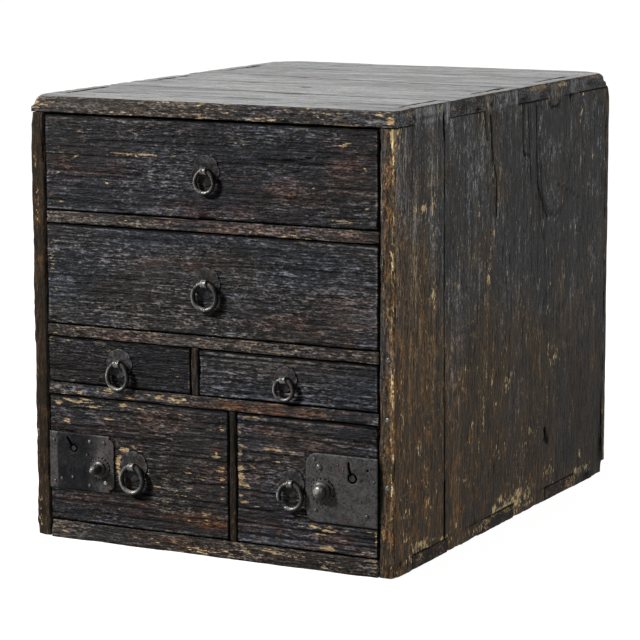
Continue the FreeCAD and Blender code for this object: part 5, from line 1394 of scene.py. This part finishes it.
def staple(name, seed):
    """Iron strip folded round the ring, its legs through the front and clenched behind."""
    cx, cz, pr, od, wire = PULLS[name]
    ye = eye_y(name)
    ri = wire / 2 + 0.5
    ro = ri + 1.0
    hw = 2.8
    outer = [(-hw, ro - 0.35), (-hw + 0.35, ro - 0.05), (-1.9, ro), (-1.2, ro - 0.12), (-0.4, ro - 0.3), (0.4, ro - 0.3), (1.2, ro - 0.12), (1.9, ro), (hw - 0.35, ro - 0.05), (hw, ro - 0.35)]
    inner = [(hw, ri + 0.2), (hw - 0.3, ri), (0, ri), (-hw + 0.3, ri), (-hw, ri + 0.2)]
    prof = outer + inner
    rows = []
    for t in np.linspace(0, 2 * math.pi, 40, endpoint=False):
        rows.append([(cx + x, ye - r * math.cos(t), cz + r * math.sin(t)) for x, r in prof])
    band = sweep(np.array(rows), along_closed=True)
    q = band["q"]
    lit = 0.28 + 0.40 * smooth(fbm(q, 0.3, seed, 2), 0.4, 0.65)
    parts = [tint(band, shine=lit, rust=0.25 if name in ("left_lock_drawer",) else 0.1)]
    legs = coarse("zxy", (cz - 1.0, cz + 1.0), (cx - 2.8, cx + 2.8), (-243.4, -227.4), 2.0, seed)
    bar = coarse("zxy", (cz - 8.0, cz + 8.0), (cx - 2.8, cx + 2.8), (-228.0, -227.0), 2.0, seed)
    return parts + [tint(legs, shine=0.1, rust=0.3), tint(bar, shine=0.1, rust=0.4)]


def pull_plate(name, seed):
    """Thin plate with eight scallops behind the ring."""
    cx, cz, pr, od, wire = PULLS[name]
    n = 176
    th = np.linspace(0, 2 * math.pi, n, endpoint=False)
    lobe = np.abs(np.cos(4 * th))
    edge = pr * (0.885 + 0.115 * lobe**0.55) * (1 - 0.03 * fbm(np.stack([np.cos(th) * 3, np.sin(th) * 3, th * 0], 1), 1.0, seed, 2))
    rows = []
    for rho, h in ((0.004, 0.0), (0.5, 0.0), (0.985, 0.0), (1.0, 0.12), (1.0, 0.38), (0.985, 0.5), (0.955, 0.56), (0.9, 0.58), (0.8, 0.62), (0.7, 0.68), (0.6, 0.74), (0.5, 0.8), (0.4, 0.85), (0.28, 0.9), (0.14, 0.94), (0.004, 0.96)):
        r = edge * rho
        groove = 0.22 * (1 - lobe) ** 3 * smooth(np.array([rho]), 0.25, 0.9)[0] if h > 0.5 else 0.0
        rows.append(np.stack([cx + r * np.cos(th), np.full(n, Y0) - h + groove, cz + r * np.sin(th)], 1))
    rows = np.array(rows)
    flat = rows.reshape(-1, 3)
    front = flat[:, 1] < Y0 - 0.45
    flat[:, 1] += front * 0.16 * fbm(flat, 0.4, seed + 2, 3)
    part = sweep(flat.reshape(rows.shape))
    x, z = flat[:, 0] - cx, flat[:, 2] - cz
    rr = np.hypot(x, z) / pr
    # painted highlight along the upper-right part of the rim, over polish noise
    shine = 0.06 + 0.85 * smooth(rr, 0.86, 0.95) * smooth(x + z, -2, 8) + 0.40 * smooth(fbm(flat, 0.3, seed + 4, 3), 0.5, 0.66)
    rust = 0.35 * smooth(fbm(flat, 0.16, seed + 6, 3), 0.48, 0.68)
    lost = {"top_drawer": 0.45, "second_drawer": 0.40, "left_small_drawer": 0.05}.get(name, 0.15)
    black = lost * (0.5 + smooth(fbm(flat, (0.08, 0.3, 0.5), seed + 9, 3), 0.38, 0.62))
    shine = shine * (1 - 0.5 * lost)
    if name == "left_lock_drawer":
        rust = rust + 0.9 * blob(x, z, [(4.0, 0.0, 2.4, 4.0, 1.0)])
    if name == "right_lock_drawer":
        rust = rust + 1.0 * blob(x, z, [(6.4, 1.4, 2.6, 2.8, 1.0)])
    return tint(part, shine=np.clip(shine, 0, 1), rust=np.clip(rust, 0, 1), black=np.clip(black, 0, 1))


def dome(x, z, r, base, seed, rise=0.55, shank=5.2):
    prof = [(0.02, -shank), (0.45, -shank + 0.8), (0.62, -shank + 1.6), (0.62, -0.15), (r, -0.12), (r * 1.0, 0.05), (r * 0.93, r * rise * 0.38), (r * 0.74, r * rise * 0.7), (r * 0.45, r * rise * 0.93), (r * 0.16, r * rise), (0.02, r * rise)]
    return lathe(prof, (x, base, z), 20, wobble=0.14, seed=seed)


for k_, name in enumerate(FRONTS):
    mesh_object(name + "_ring_iron", ring(name, 800 + 10 * k_), name + "_pull", [name + "_ring"], IRON)
    mesh_object(name + "_pull_plate", [pull_plate(name, 860 + 10 * k_)], name, [name + "_pull_fixing"], DULL)
    mesh_object(name + "_pull_staple", staple(name, 920 + 10 * k_), name, [name + "_pull_fixing"], IRON)


# lock plates
def inside_polygon(pts, poly):
    x, y = pts[:, 0], pts[:, 1]
    out = np.zeros(len(pts), bool)
    a = np.array(poly)
    b = np.roll(a, -1, 0)
    for (x0, y0), (x1, y1) in zip(a, b):
        hit = ((y0 > y) != (y1 > y)) & (x < (x1 - x0) * (y - y0) / ((y1 - y0) if y1 != y0 else 1e-12) + x0)
        out ^= hit
    return out


def to_edges(pts, loops):
    best = np.full(len(pts), 1e9)
    for loop in loops:
        a = np.array(loop)
        b = np.roll(a, -1, 0)
        for p0, p1 in zip(a, b):
            d = p1 - p0
            L = max(float(d @ d), 1e-12)
            t = np.clip(((pts - p0) @ d) / L, 0, 1)
            best = np.minimum(best, np.hypot(*(pts - p0 - t[:, None] * d).T))
    return best


def resample(loop, step):
    out = []
    a = np.array(loop)
    for p0, p1 in zip(a, np.roll(a, -1, 0)):
        n = max(1, int(math.ceil(np.hypot(*(p1 - p0)) / step)))
        for i in range(n):
            out.append(tuple(p0 + (p1 - p0) * i / n))
    return out


def arc(cx, cz, r, a0, a1, n=8):
    return [(cx + r * math.cos(math.radians(a0 + (a1 - a0) * i / n)), cz + r * math.sin(math.radians(a0 + (a1 - a0) * i / n))) for i in range(n + 1)]


def keyhole(px, pz, r, dx, dz, w0, w1):
    """Outline of a round hole with a slanting slot, counter-clockwise."""
    L = math.hypot(dx, dz)
    base = math.atan2(dz, dx)
    out = []
    for i in range(72):
        t = base + math.pi * 2 * i / 72
        out.append((t, r))
    slot = []
    half = math.asin(w0 / r)
    pts = [(t, rr) for t, rr in out if half + 0.02 < (t - base) < 2 * math.pi - half - 0.02]
    loop = [(px + rr * math.cos(t), pz + rr * math.sin(t)) for t, rr in pts]
    ux, uz = dx / L, dz / L
    nx, nz = -uz, ux
    bend = 0.9 if dx > -5 else 0.0
    side_a, side_b = [], []
    for s in np.linspace(math.sqrt(r * r - w0 * w0), L, 7):
        w = w0 + (w1 - w0) * (s / L)
        off = bend * math.sin(math.pi * s / L)
        side_a.append((px + ux * s + nx * (w + off), pz + uz * s + nz * (w + off)))
        side_b.append((px + ux * s - nx * (w - off), pz + uz * s - nz * (w - off)))
    tip = [(px + ux * (L + w1 * 0.8), pz + uz * (L + w1 * 0.8))]
    return loop + side_b + tip + side_a[::-1]


def lock_plate(tag, seed):
    if tag == "left":
        outline = [(-166.0, 47.5), (-102.8, 47.5)] + [(-102.8, 50.5)] + arc(-103.25, 55.5, 5, -82, 0, 7) + arc(-103.25, 91.6, 5, 0, 82, 7) + [(-102.8, 96.6), (-102.8, 99.6), (-166.0, 99.6)]
        hole = keyhole(-140.3, 85.8, 3.8, -7.1, 9.2, 1.2, 1.0)
        extra = []
    else:
        outline = [(166.2, 105.5)] + arc(107.7, 94.5, 11, 90, 180, 12) + arc(107.7, 55.5, 11, 180, 270, 12) + [(166.2, 44.5)]
        hole = keyhole(142.0, 86.2, 4.6, -3.7, 13.3, 1.3, 1.1)
        extra = [arc(156.7, 94.5, 1.2, 0, 330, 11)]
    lk = LOCKS[tag + "_lock_drawer"]
    extra.append(arc(lk["kx"], lk["kz"], 2.85, 0, 342, 19))
    loops = [resample(outline, 0.9), hole] + extra
    y_front_, y_back = -244.2, -243.0
    a = np.array(loops[0])
    lo, hi = a.min(0), a.max(0)
    gx, gz = np.meshgrid(np.arange(lo[0] + 0.9, hi[0], 1.15), np.arange(lo[1] + 0.9, hi[1], 1.15), indexing="ij")
    grid = np.stack([gx.ravel(), gz.ravel()], 1)
    grid = grid + (np.stack([noise(np.c_[grid, grid[:, :1] * 0], 1.7, seed), noise(np.c_[grid, grid[:, :1] * 0], 1.7, seed + 1)], 1) - 0.5) * 0.25
    keep = inside_polygon(grid, loops[0])
    for h in loops[1:]:
        keep &= ~inside_polygon(grid, h)
    grid = grid[keep & (to_edges(grid, loops) > 0.75)]
    # a second line of points just inside every edge makes the rounding
    near = []
    for loop in loops:
        c = np.array(loop)
        t = np.roll(c, -1, 0) - np.roll(c, 1, 0)
        nrm = np.stack([-t[:, 1], t[:, 0]], 1)
        nrm /= np.maximum(np.hypot(*nrm.T), 1e-9)[:, None]
        area = 0.5 * np.sum(c[:, 0] * np.roll(c[:, 1], -1) - np.roll(c[:, 0], -1) * c[:, 1])
        sgn = 1 if (area > 0) == (loop is loops[0]) else -1
        near.append(c + nrm * 0.38 * sgn)
    near = np.concatenate(near)
    near = near[to_edges(near, loops) > 0.3]
    pts, edges = [], []
    for loop in loops:
        s = len(pts)
        pts += [tuple(q) for q in loop]
        edges += [(s + i, s + (i + 1) % len(loop)) for i in range(len(loop))]
    pts += [tuple(q) for q in near] + [tuple(q) for q in grid]
    vs_, _, tris, _, _, _ = geometry.delaunay_2d_cdt([Vector(q) for q in pts], edges, [], 0, 1e-5)
    flat = np.array([tuple(v) for v in vs_])
    tri = np.array([t for t in tris if len(t) == 3])
    cen = flat[tri].mean(1)
    ok = inside_polygon(cen, loops[0])
    for h in loops[1:]:
        ok &= ~inside_polygon(cen, h)
    tri = tri[ok]
    used, inv = np.unique(tri, return_inverse=True)
    flat, tri = flat[used], inv.reshape(-1, 3)
    d1 = np.cross(flat[tri[:, 1]] - flat[tri[:, 0]], flat[tri[:, 2]] - flat[tri[:, 0]])
    tri[d1 < 0] = tri[d1 < 0][:, ::-1]
    dist = to_edges(flat, loops)
    x, z = flat[:, 0], flat[:, 1]
    p3 = np.stack([x, x * 0, z], 1)
    drop = 0.42 * (1 - smooth(dist, 0.0, 0.6)) + 0.20 * fbm(p3, 0.12, seed + 3, 3) + 0.14 * noise(p3, 0.5, seed + 4)
    m = len(flat)
    q = np.concatenate([np.stack([x, y_front_ + np.clip(drop, 0, 1.0), z], 1), np.stack([x, np.full(m, y_back), z], 1)])
    faces = [list(t) for t in tri] + [[a_ + m for a_ in t[::-1]] for t in tri]
    # side walls along every boundary edge
    count = {}
    for t in tri.tolist():
        for e0, e1 in ((t[0], t[1]), (t[1], t[2]), (t[2], t[0])):
            count[(e0, e1)] = True
    for e0, e1 in list(count):
        if (e1, e0) not in count:
            faces.append([e1, e0, e0 + m, e1 + m])
    part = outward({"q": q, "faces": faces})
    if tag == "left":
        shine = 0.12 * np.ones(m) + 0.22 * smooth(-x, 157.0, 158.5) + 0.20 * smooth(x, -117, -113) + 0.35 * np.exp(-((99.6 - z) / 1.0) ** 2) + 0.35 * np.exp(-((x + 98.25) / 1.2) ** 2)
        rust = 0.30 * smooth(x, -117, -110) + 0.25 * smooth(-x, 157, 159) + 0.25 * smooth(fbm(p3, 0.09, seed + 9, 3), 0.5, 0.7)
        # painted reflection: a light patch on the plate just above the rosette, where the dark tarnish is also left out
        shine += blob(x, z, [(-113, 82, 4.5, 3.5, 0.9)])
        cool = (0.75 + 0.25 * smooth(fbm(p3, 0.12, seed + 12, 3), 0.4, 0.6)) * smooth(x, -158.2, -157.2) * smooth(-x, 112, 128)
        # dark tarnish in a ring round the rosette, which also stands in as painted shadow of the knob
        cool = np.maximum(cool, 0.8 * smooth(-np.hypot(x + 115, (z - 68) * 1.1), -14.5, -11.5))
        cool = cool * (0.86 - 0.86 * blob(x, z, [(-113.5, 82, 5.5, 4.0, 1.0)]))
    else:
        shine = 0.30 * np.ones(m) + 0.45 * np.exp(-((105.5 - z) / 0.9) ** 2) + 0.15 * smooth(fbm(p3, 0.1, seed + 9, 3), 0.45, 0.7)
        rust = 0.16 + 0.22 * smooth(fbm(p3, 0.08, seed + 10, 3), 0.45, 0.7)
        cool = np.zeros(m)
    shine += 0.2 * smooth(fbm(p3, 0.3, seed + 8, 3), 0.5, 0.7)
    black = 0.5 * smooth(fbm(p3, 0.07, seed + 7, 3), 0.52, 0.72)
    z0_ = np.zeros(m)
    return tint(part, shine=np.r_[np.clip(shine, 0, 1), z0_], rust=np.r_[np.clip(rust, 0, 1) * 0.6, z0_ + 0.3], black=np.r_[black * 0.5, z0_ + 0.5], cool=np.r_[cool, z0_])


KNOBS = {
    "left": [(5.9, 0.0), (6.7, 0.9), (6.5, 1.5), (4.7, 2.5), (4.6, 3.1), (5.1, 4.7), (5.0, 5.6), (3.9, 9.6), (2.8, 12.5), (2.0, 13.4), (1.3, 13.95), (0.5, 14.15)],
    "right": [(8.7, 0.0), (9.3, 0.8), (9.2, 1.4), (8.1, 2.5), (7.3, 3.1), (6.9, 3.5), (6.2, 5.1), (5.3, 6.1), (4.1, 6.95), (2.2, 7.5), (0.4, 7.75)],
}
ROSETTES = {"left": (10.6, 1.2), "right": (12.3, 1.4)}
LOCK_NAILS = {
    "left": [(-123.2, 93.3, 1.9), (-108.2, 93.3, 1.9), (-161.2, 92.0, 1.7), (-126.2, 80.8, 1.2), (-106.6, 56.7, 2.3), (-153.2, 56.7, 1.7), (-141.6, 58.8, 1.7), (-160.3, 54.0, 1.6), (-123.7, 52.5, 1.8)],
    "right": [(110.0, 93.7, 2.9), (105.4, 100.3, 1.7), (106.7, 55.0, 1.9), (156.2, 54.5, 1.8), (133.3, 93.2, 1.0), (163.0, 85.3, 1.1), (128.0, 97.0, 1.0)],
}
CRANK = {"left": 6.0, "right": 5.5}

for k_, (drawer, lk) in enumerate(LOCKS.items()):
    tag, s = lk["tag"], lk["s"]
    mesh_object(tag + "_lock_plate_iron", [lock_plate(tag, 1000 + 40 * k_)], drawer, [tag + "_lock_plate"], PLATE)
    nails = []
    for i, (x, z, r) in enumerate(LOCK_NAILS[tag]):
        bright = 0.85 if (tag == "left" and i == 4) else 0.30 if i == 0 else 0.14
        nails.append(tint(dome(x, z, r, -244.2, 1100 + i), shine=bright, rust=0.15))
    mesh_object(tag + "_lock_nails_iron", nails, drawer, [tag + "_lock_nails"], IRON)
    rr, rt = ROSETTES[tag]
    y = -244.2
    kx, kz = lk["kx"], lk["kz"]
    disc = lathe([(2.9, 0.0), (rr - 1.0, 0.0), (rr - 0.9, 0.3), (rr - 1.3, rt * 0.55), (rr - 2.4, rt * 0.6), (rr - 2.9, rt * 0.9), (rr - 3.5, rt), (rr - 4.1, rt * 0.9), (3.6, rt * 0.75), (3.0, rt * 0.7), (2.9, 0.5)], (kx, y, kz), 60, closed=True)
    beads = [tint(disc, shine=0.22, rust=0.3)]
    for i in range(18):
        t = 2 * math.pi * i / 18
        bx, bz = kx + (rr - 1.2) * math.cos(t), kz + (rr - 1.2) * math.sin(t)
        prof = [(0.02, 0.0), (1.1, 0.0), (1.18, rt * 0.3), (1.02, rt * 0.62), (0.7, rt * 0.88), (0.3, rt * 0.99), (0.02, rt)]
        bead = lathe(prof, (bx, y, bz), 12, wobble=0.12, seed=1200 + i)
        rust = 0.8 if (tag == "left" and math.cos(t) > 0.75) else 0.15
        # painted highlight on the beads along the upper side of the rosette
        beads.append(tint(bead, shine=0.50 if math.sin(t - 0.7) > 0.2 else 0.10, rust=rust))
    mesh_object(tag + "_lock_rosette_iron", beads, drawer, [tag + "_lock_rosette"], PLATE)
    # knob: turned head with its shank, crank and pin
    yk = y - rt - 0.3
    prof = [(0.02, 0.0)] + [tuple(v) for v in curve(KNOBS[tag], 40)] + [(0.02, KNOBS[tag][-1][1])]
    head = lathe(prof, (kx, yk, kz), 48, wobble=0.07, seed=1300 + k_)
    hh = (yk - head["q"][:, 1])
    # painted highlight on the tip of the head and on its side towards the upper left; painted shade on the side turned
    # away
    shine = (0.16 if tag == "right" else 0.24) + (0.45 if tag == "right" else 0.6) * smooth(hh, KNOBS[tag][-1][1] * 0.62, KNOBS[tag][-1][1] * 0.92)
    hx, hz = head["q"][:, 0] - kx, head["q"][:, 2] - kz
    towards = (hz - hx) * 0.7071 / (np.hypot(hx, hz) + 0.8)
    shine = shine * (0.25 + 0.95 * smooth(towards, -0.5, 0.6))
    head = tint(head, shine=np.clip(shine, 0, 1), rust=0.35 * smooth(fbm(head["q"], 0.25, 1310 + k_, 2), 0.45, 0.65), black=0.7 * smooth(-towards, 0.0, 0.9))
    arm_end = Y0 + 7.4
    shank = lathe([(0.02, -0.3), (2.4, -0.3), (2.4, -(arm_end - yk)), (0.02, -(arm_end - yk))], (kx, yk, kz), 20)
    c = CRANK[tag]
    lx, lz = -s * c * 0.5, c * math.sqrt(3) / 2
    ux, uz = -s * 0.5, math.sqrt(3) / 2
    vx, vz = uz * 1.7, -ux * 1.7
    rows = []
    for yy in (Y0 + 5.6, Y0 + 7.4):
        rows.append([(kx - vx, yy, kz - vz), (kx + vx, yy, kz + vz), (kx + lx + vx, yy, kz + lz + vz), (kx + lx - vx, yy, kz + lz - vz)])
    arm = sweep(np.array(rows, float))
    pin = lathe([(0.02, 0.0), (1.4, 0.0), (1.4, -4.5), (0.02, -4.5)], (kx + lx, Y0 + 5.6, kz + lz), 14)
    mesh_object(tag + "_knob_iron", [head] + [tint(q_, shine=0.1, rust=0.3) for q_ in (shank, arm, pin)], tag + "_knob", [tag + "_lock_knob"], IRON)

# nails of the carcass and its pegs
nails = []
for i, (x, z) in enumerate(((175.4, 81.0), (175.5, 140.0), (176.0, 192.0))):
    nails.append(tint(dome(x, z, 2.7, Y0 + 0.55, 1400 + i, 0.42, 26.0), shine=0.35, rust=0.35))
for i, (x, z) in enumerate([(sx * 174, z) for sx in (-1, 1) for z in (40, 120, 200, 280, 360)] + [(0, 296), (0, 193)]):
    head = lathe([(0.02, 25.6), (1.2, 25.0), (1.3, 1.4), (2.5, 1.2), (2.5, 0.75), (2.1, 0.35), (1.0, 0.2), (0.02, 0.15)], (x, 243.0, z), 18, wobble=0.1, seed=1420 + i)
    nails.append(tint(head, shine=0.2, rust=0.8))
mesh_object("carcass_nails_iron", nails, "carcass", ["carcass_nails"], IRON)
pegs = []
for s in (-1, 1):
    for k in range(7):
        z = H - SIDE_T / 2 if k % 2 else FOOT / 2
        yy = Y0 + (STEPS[k] + STEPS[k + 1]) / 2
        n_, rows = 20, []
        th = np.linspace(0, 2 * math.pi, n_, endpoint=False)
        for r, h in ((0.02, -22.0), (1.9, -21.9), (2.0, -21), (2.0, -1.4), (1.85, -0.95), (1.2, -0.8), (0.02, -0.75)):
            rows.append(np.stack([np.full(n_, s * (W / 2 + h)), yy + r * np.cos(th), z + r * np.sin(th)], 1))
        pegs.append(tint(sweep(np.array(rows)), pale=0.5, warm=0.4, edge=0.0, black=0.1, grey=0.3))
mesh_object("carcass_pegs_wood", pegs, "carcass", ["carcass_pegs"], SIDE)

for tag in ("left", "right"):
    for part in ("_lock_case", "_lock_bolt"):
        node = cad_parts[tag + part]
        for i in range(len(node.material_slots)):
            node.material_slots[i].material = PLATE
        if not node.material_slots:
            node.data.materials.append(PLATE)

# ------------------------------------------------------------------ floor, light and camera
def floor_material():
    t = Tree("pale_floor")
    n = t.noise(t.scaled(t.coord, (3, 3, 3)), 1, 2, 0.5)
    t.put(t.bsdf.inputs["Base Color"], t.ramp(n, [(0.3, (0.17, 0.17, 0.17)), (0.7, (0.19, 0.19, 0.19))]))
    t.bsdf.inputs["Roughness"].default_value = 0.9
    t.bsdf.inputs["Specular IOR Level"].default_value = 0.1
    t.bsdf.inputs["Emission Color"].default_value = (1, 1, 1, 1)
    t.bsdf.inputs["Emission Strength"].default_value = 0.93
    return t.mat


me = bpy.data.meshes.new("floor")
me.from_pydata([(-40, -40, 0), (40, -40, 0), (40, 40, 0), (-40, 40, 0)], [], [(0, 1, 2, 3)])
floor = bpy.data.objects.new("floor", me)
bpy.context.scene.collection.objects.link(floor)
me.materials.append(floor_material())

# a pale room with a darker ceiling
world = bpy.data.worlds.new("studio")
world.use_nodes = True
wt = world.node_tree
sky = wt.nodes.new("ShaderNodeSeparateXYZ")
wt.links.new(wt.nodes.new("ShaderNodeTexCoord").outputs["Generated"], sky.inputs[0])
grad = wt.nodes.new("ShaderNodeValToRGB")
wt.links.new(sky.outputs["Z"], grad.inputs[0])
els = grad.color_ramp.elements
els.new(0.5)
for el, (at, v_) in zip(els, ((0.22, 1.15), (0.42, 0.40), (0.9, 0.30))):
    el.position = at
    el.color = (v_, v_, v_, 1)
# brighter behind the chest than in front of it
depth = wt.nodes.new("ShaderNodeValToRGB")
wt.links.new(sky.outputs["Y"], depth.inputs[0])
for el, (at, v_) in zip(depth.color_ramp.elements, ((0.0, 0.42), (0.55, 1.12))):
    el.position = at
    el.color = (v_, v_, v_, 1)
both = wt.nodes.new("ShaderNodeMix")
both.data_type = "RGBA"
both.blend_type = "MULTIPLY"
both.inputs[0].default_value = 1.0
wt.links.new(grad.outputs[0], both.inputs[6])
wt.links.new(depth.outputs[0], both.inputs[7])
wt.links.new(both.outputs[2], wt.nodes["Background"].inputs[0])
wt.nodes["Background"].inputs[1].default_value = 1.0
bpy.context.scene.world = world


def area(name, at, aim, size, power, colour=(1, 1, 1)):
    data = bpy.data.lights.new(name, "AREA")
    data.shape = "RECTANGLE"
    data.size, data.size_y = size
    data.energy = power
    data.color = colour
    ob = bpy.data.objects.new(name, data)
    bpy.context.scene.collection.objects.link(ob)
    ob.location = at
    ob.rotation_euler = (Vector(aim) - Vector(at)).to_track_quat("-Z", "Y").to_euler()
    return ob


area("key", (-2.1, -1.95, 1.95), (0, -0.1, 0.2), (0.5, 0.5), 420)
fill = area("fill", (2.6, 0.6, 0.9), (0.18, 0.0, 0.2), (1.2, 1.2), 40)
fill.visible_glossy = False

cam_data = bpy.data.cameras.new("camera")
cam_data.lens = 155.70
cam_data.sensor_width = 36
cam_data.clip_start, cam_data.clip_end = 0.05, 50
cam = bpy.data.objects.new("camera", cam_data)
bpy.context.scene.collection.objects.link(cam)
yaw, pitch, roll = math.radians(27.468), math.radians(9.494), math.radians(-0.104)
fwd = Vector((-math.sin(yaw) * math.cos(pitch), math.cos(yaw) * math.cos(pitch), -math.sin(pitch)))
right = Vector((math.cos(yaw), math.sin(yaw), 0))
up = right.cross(fwd)
r2 = right * math.cos(roll) + up * math.sin(roll)
u2 = up * math.cos(roll) - right * math.sin(roll)
m4 = Matrix((
    (r2.x, u2.x, -fwd.x, 1.1891),
    (r2.y, u2.y, -fwd.y, -2.3176),
    (r2.z, u2.z, -fwd.z, 0.6131),
    (0, 0, 0, 1),
))
cam.matrix_world = m4
bpy.context.scene.camera = cam
bpy.context.scene.view_settings.view_transform = "Standard"
bpy.context.scene.view_settings.look = "None"
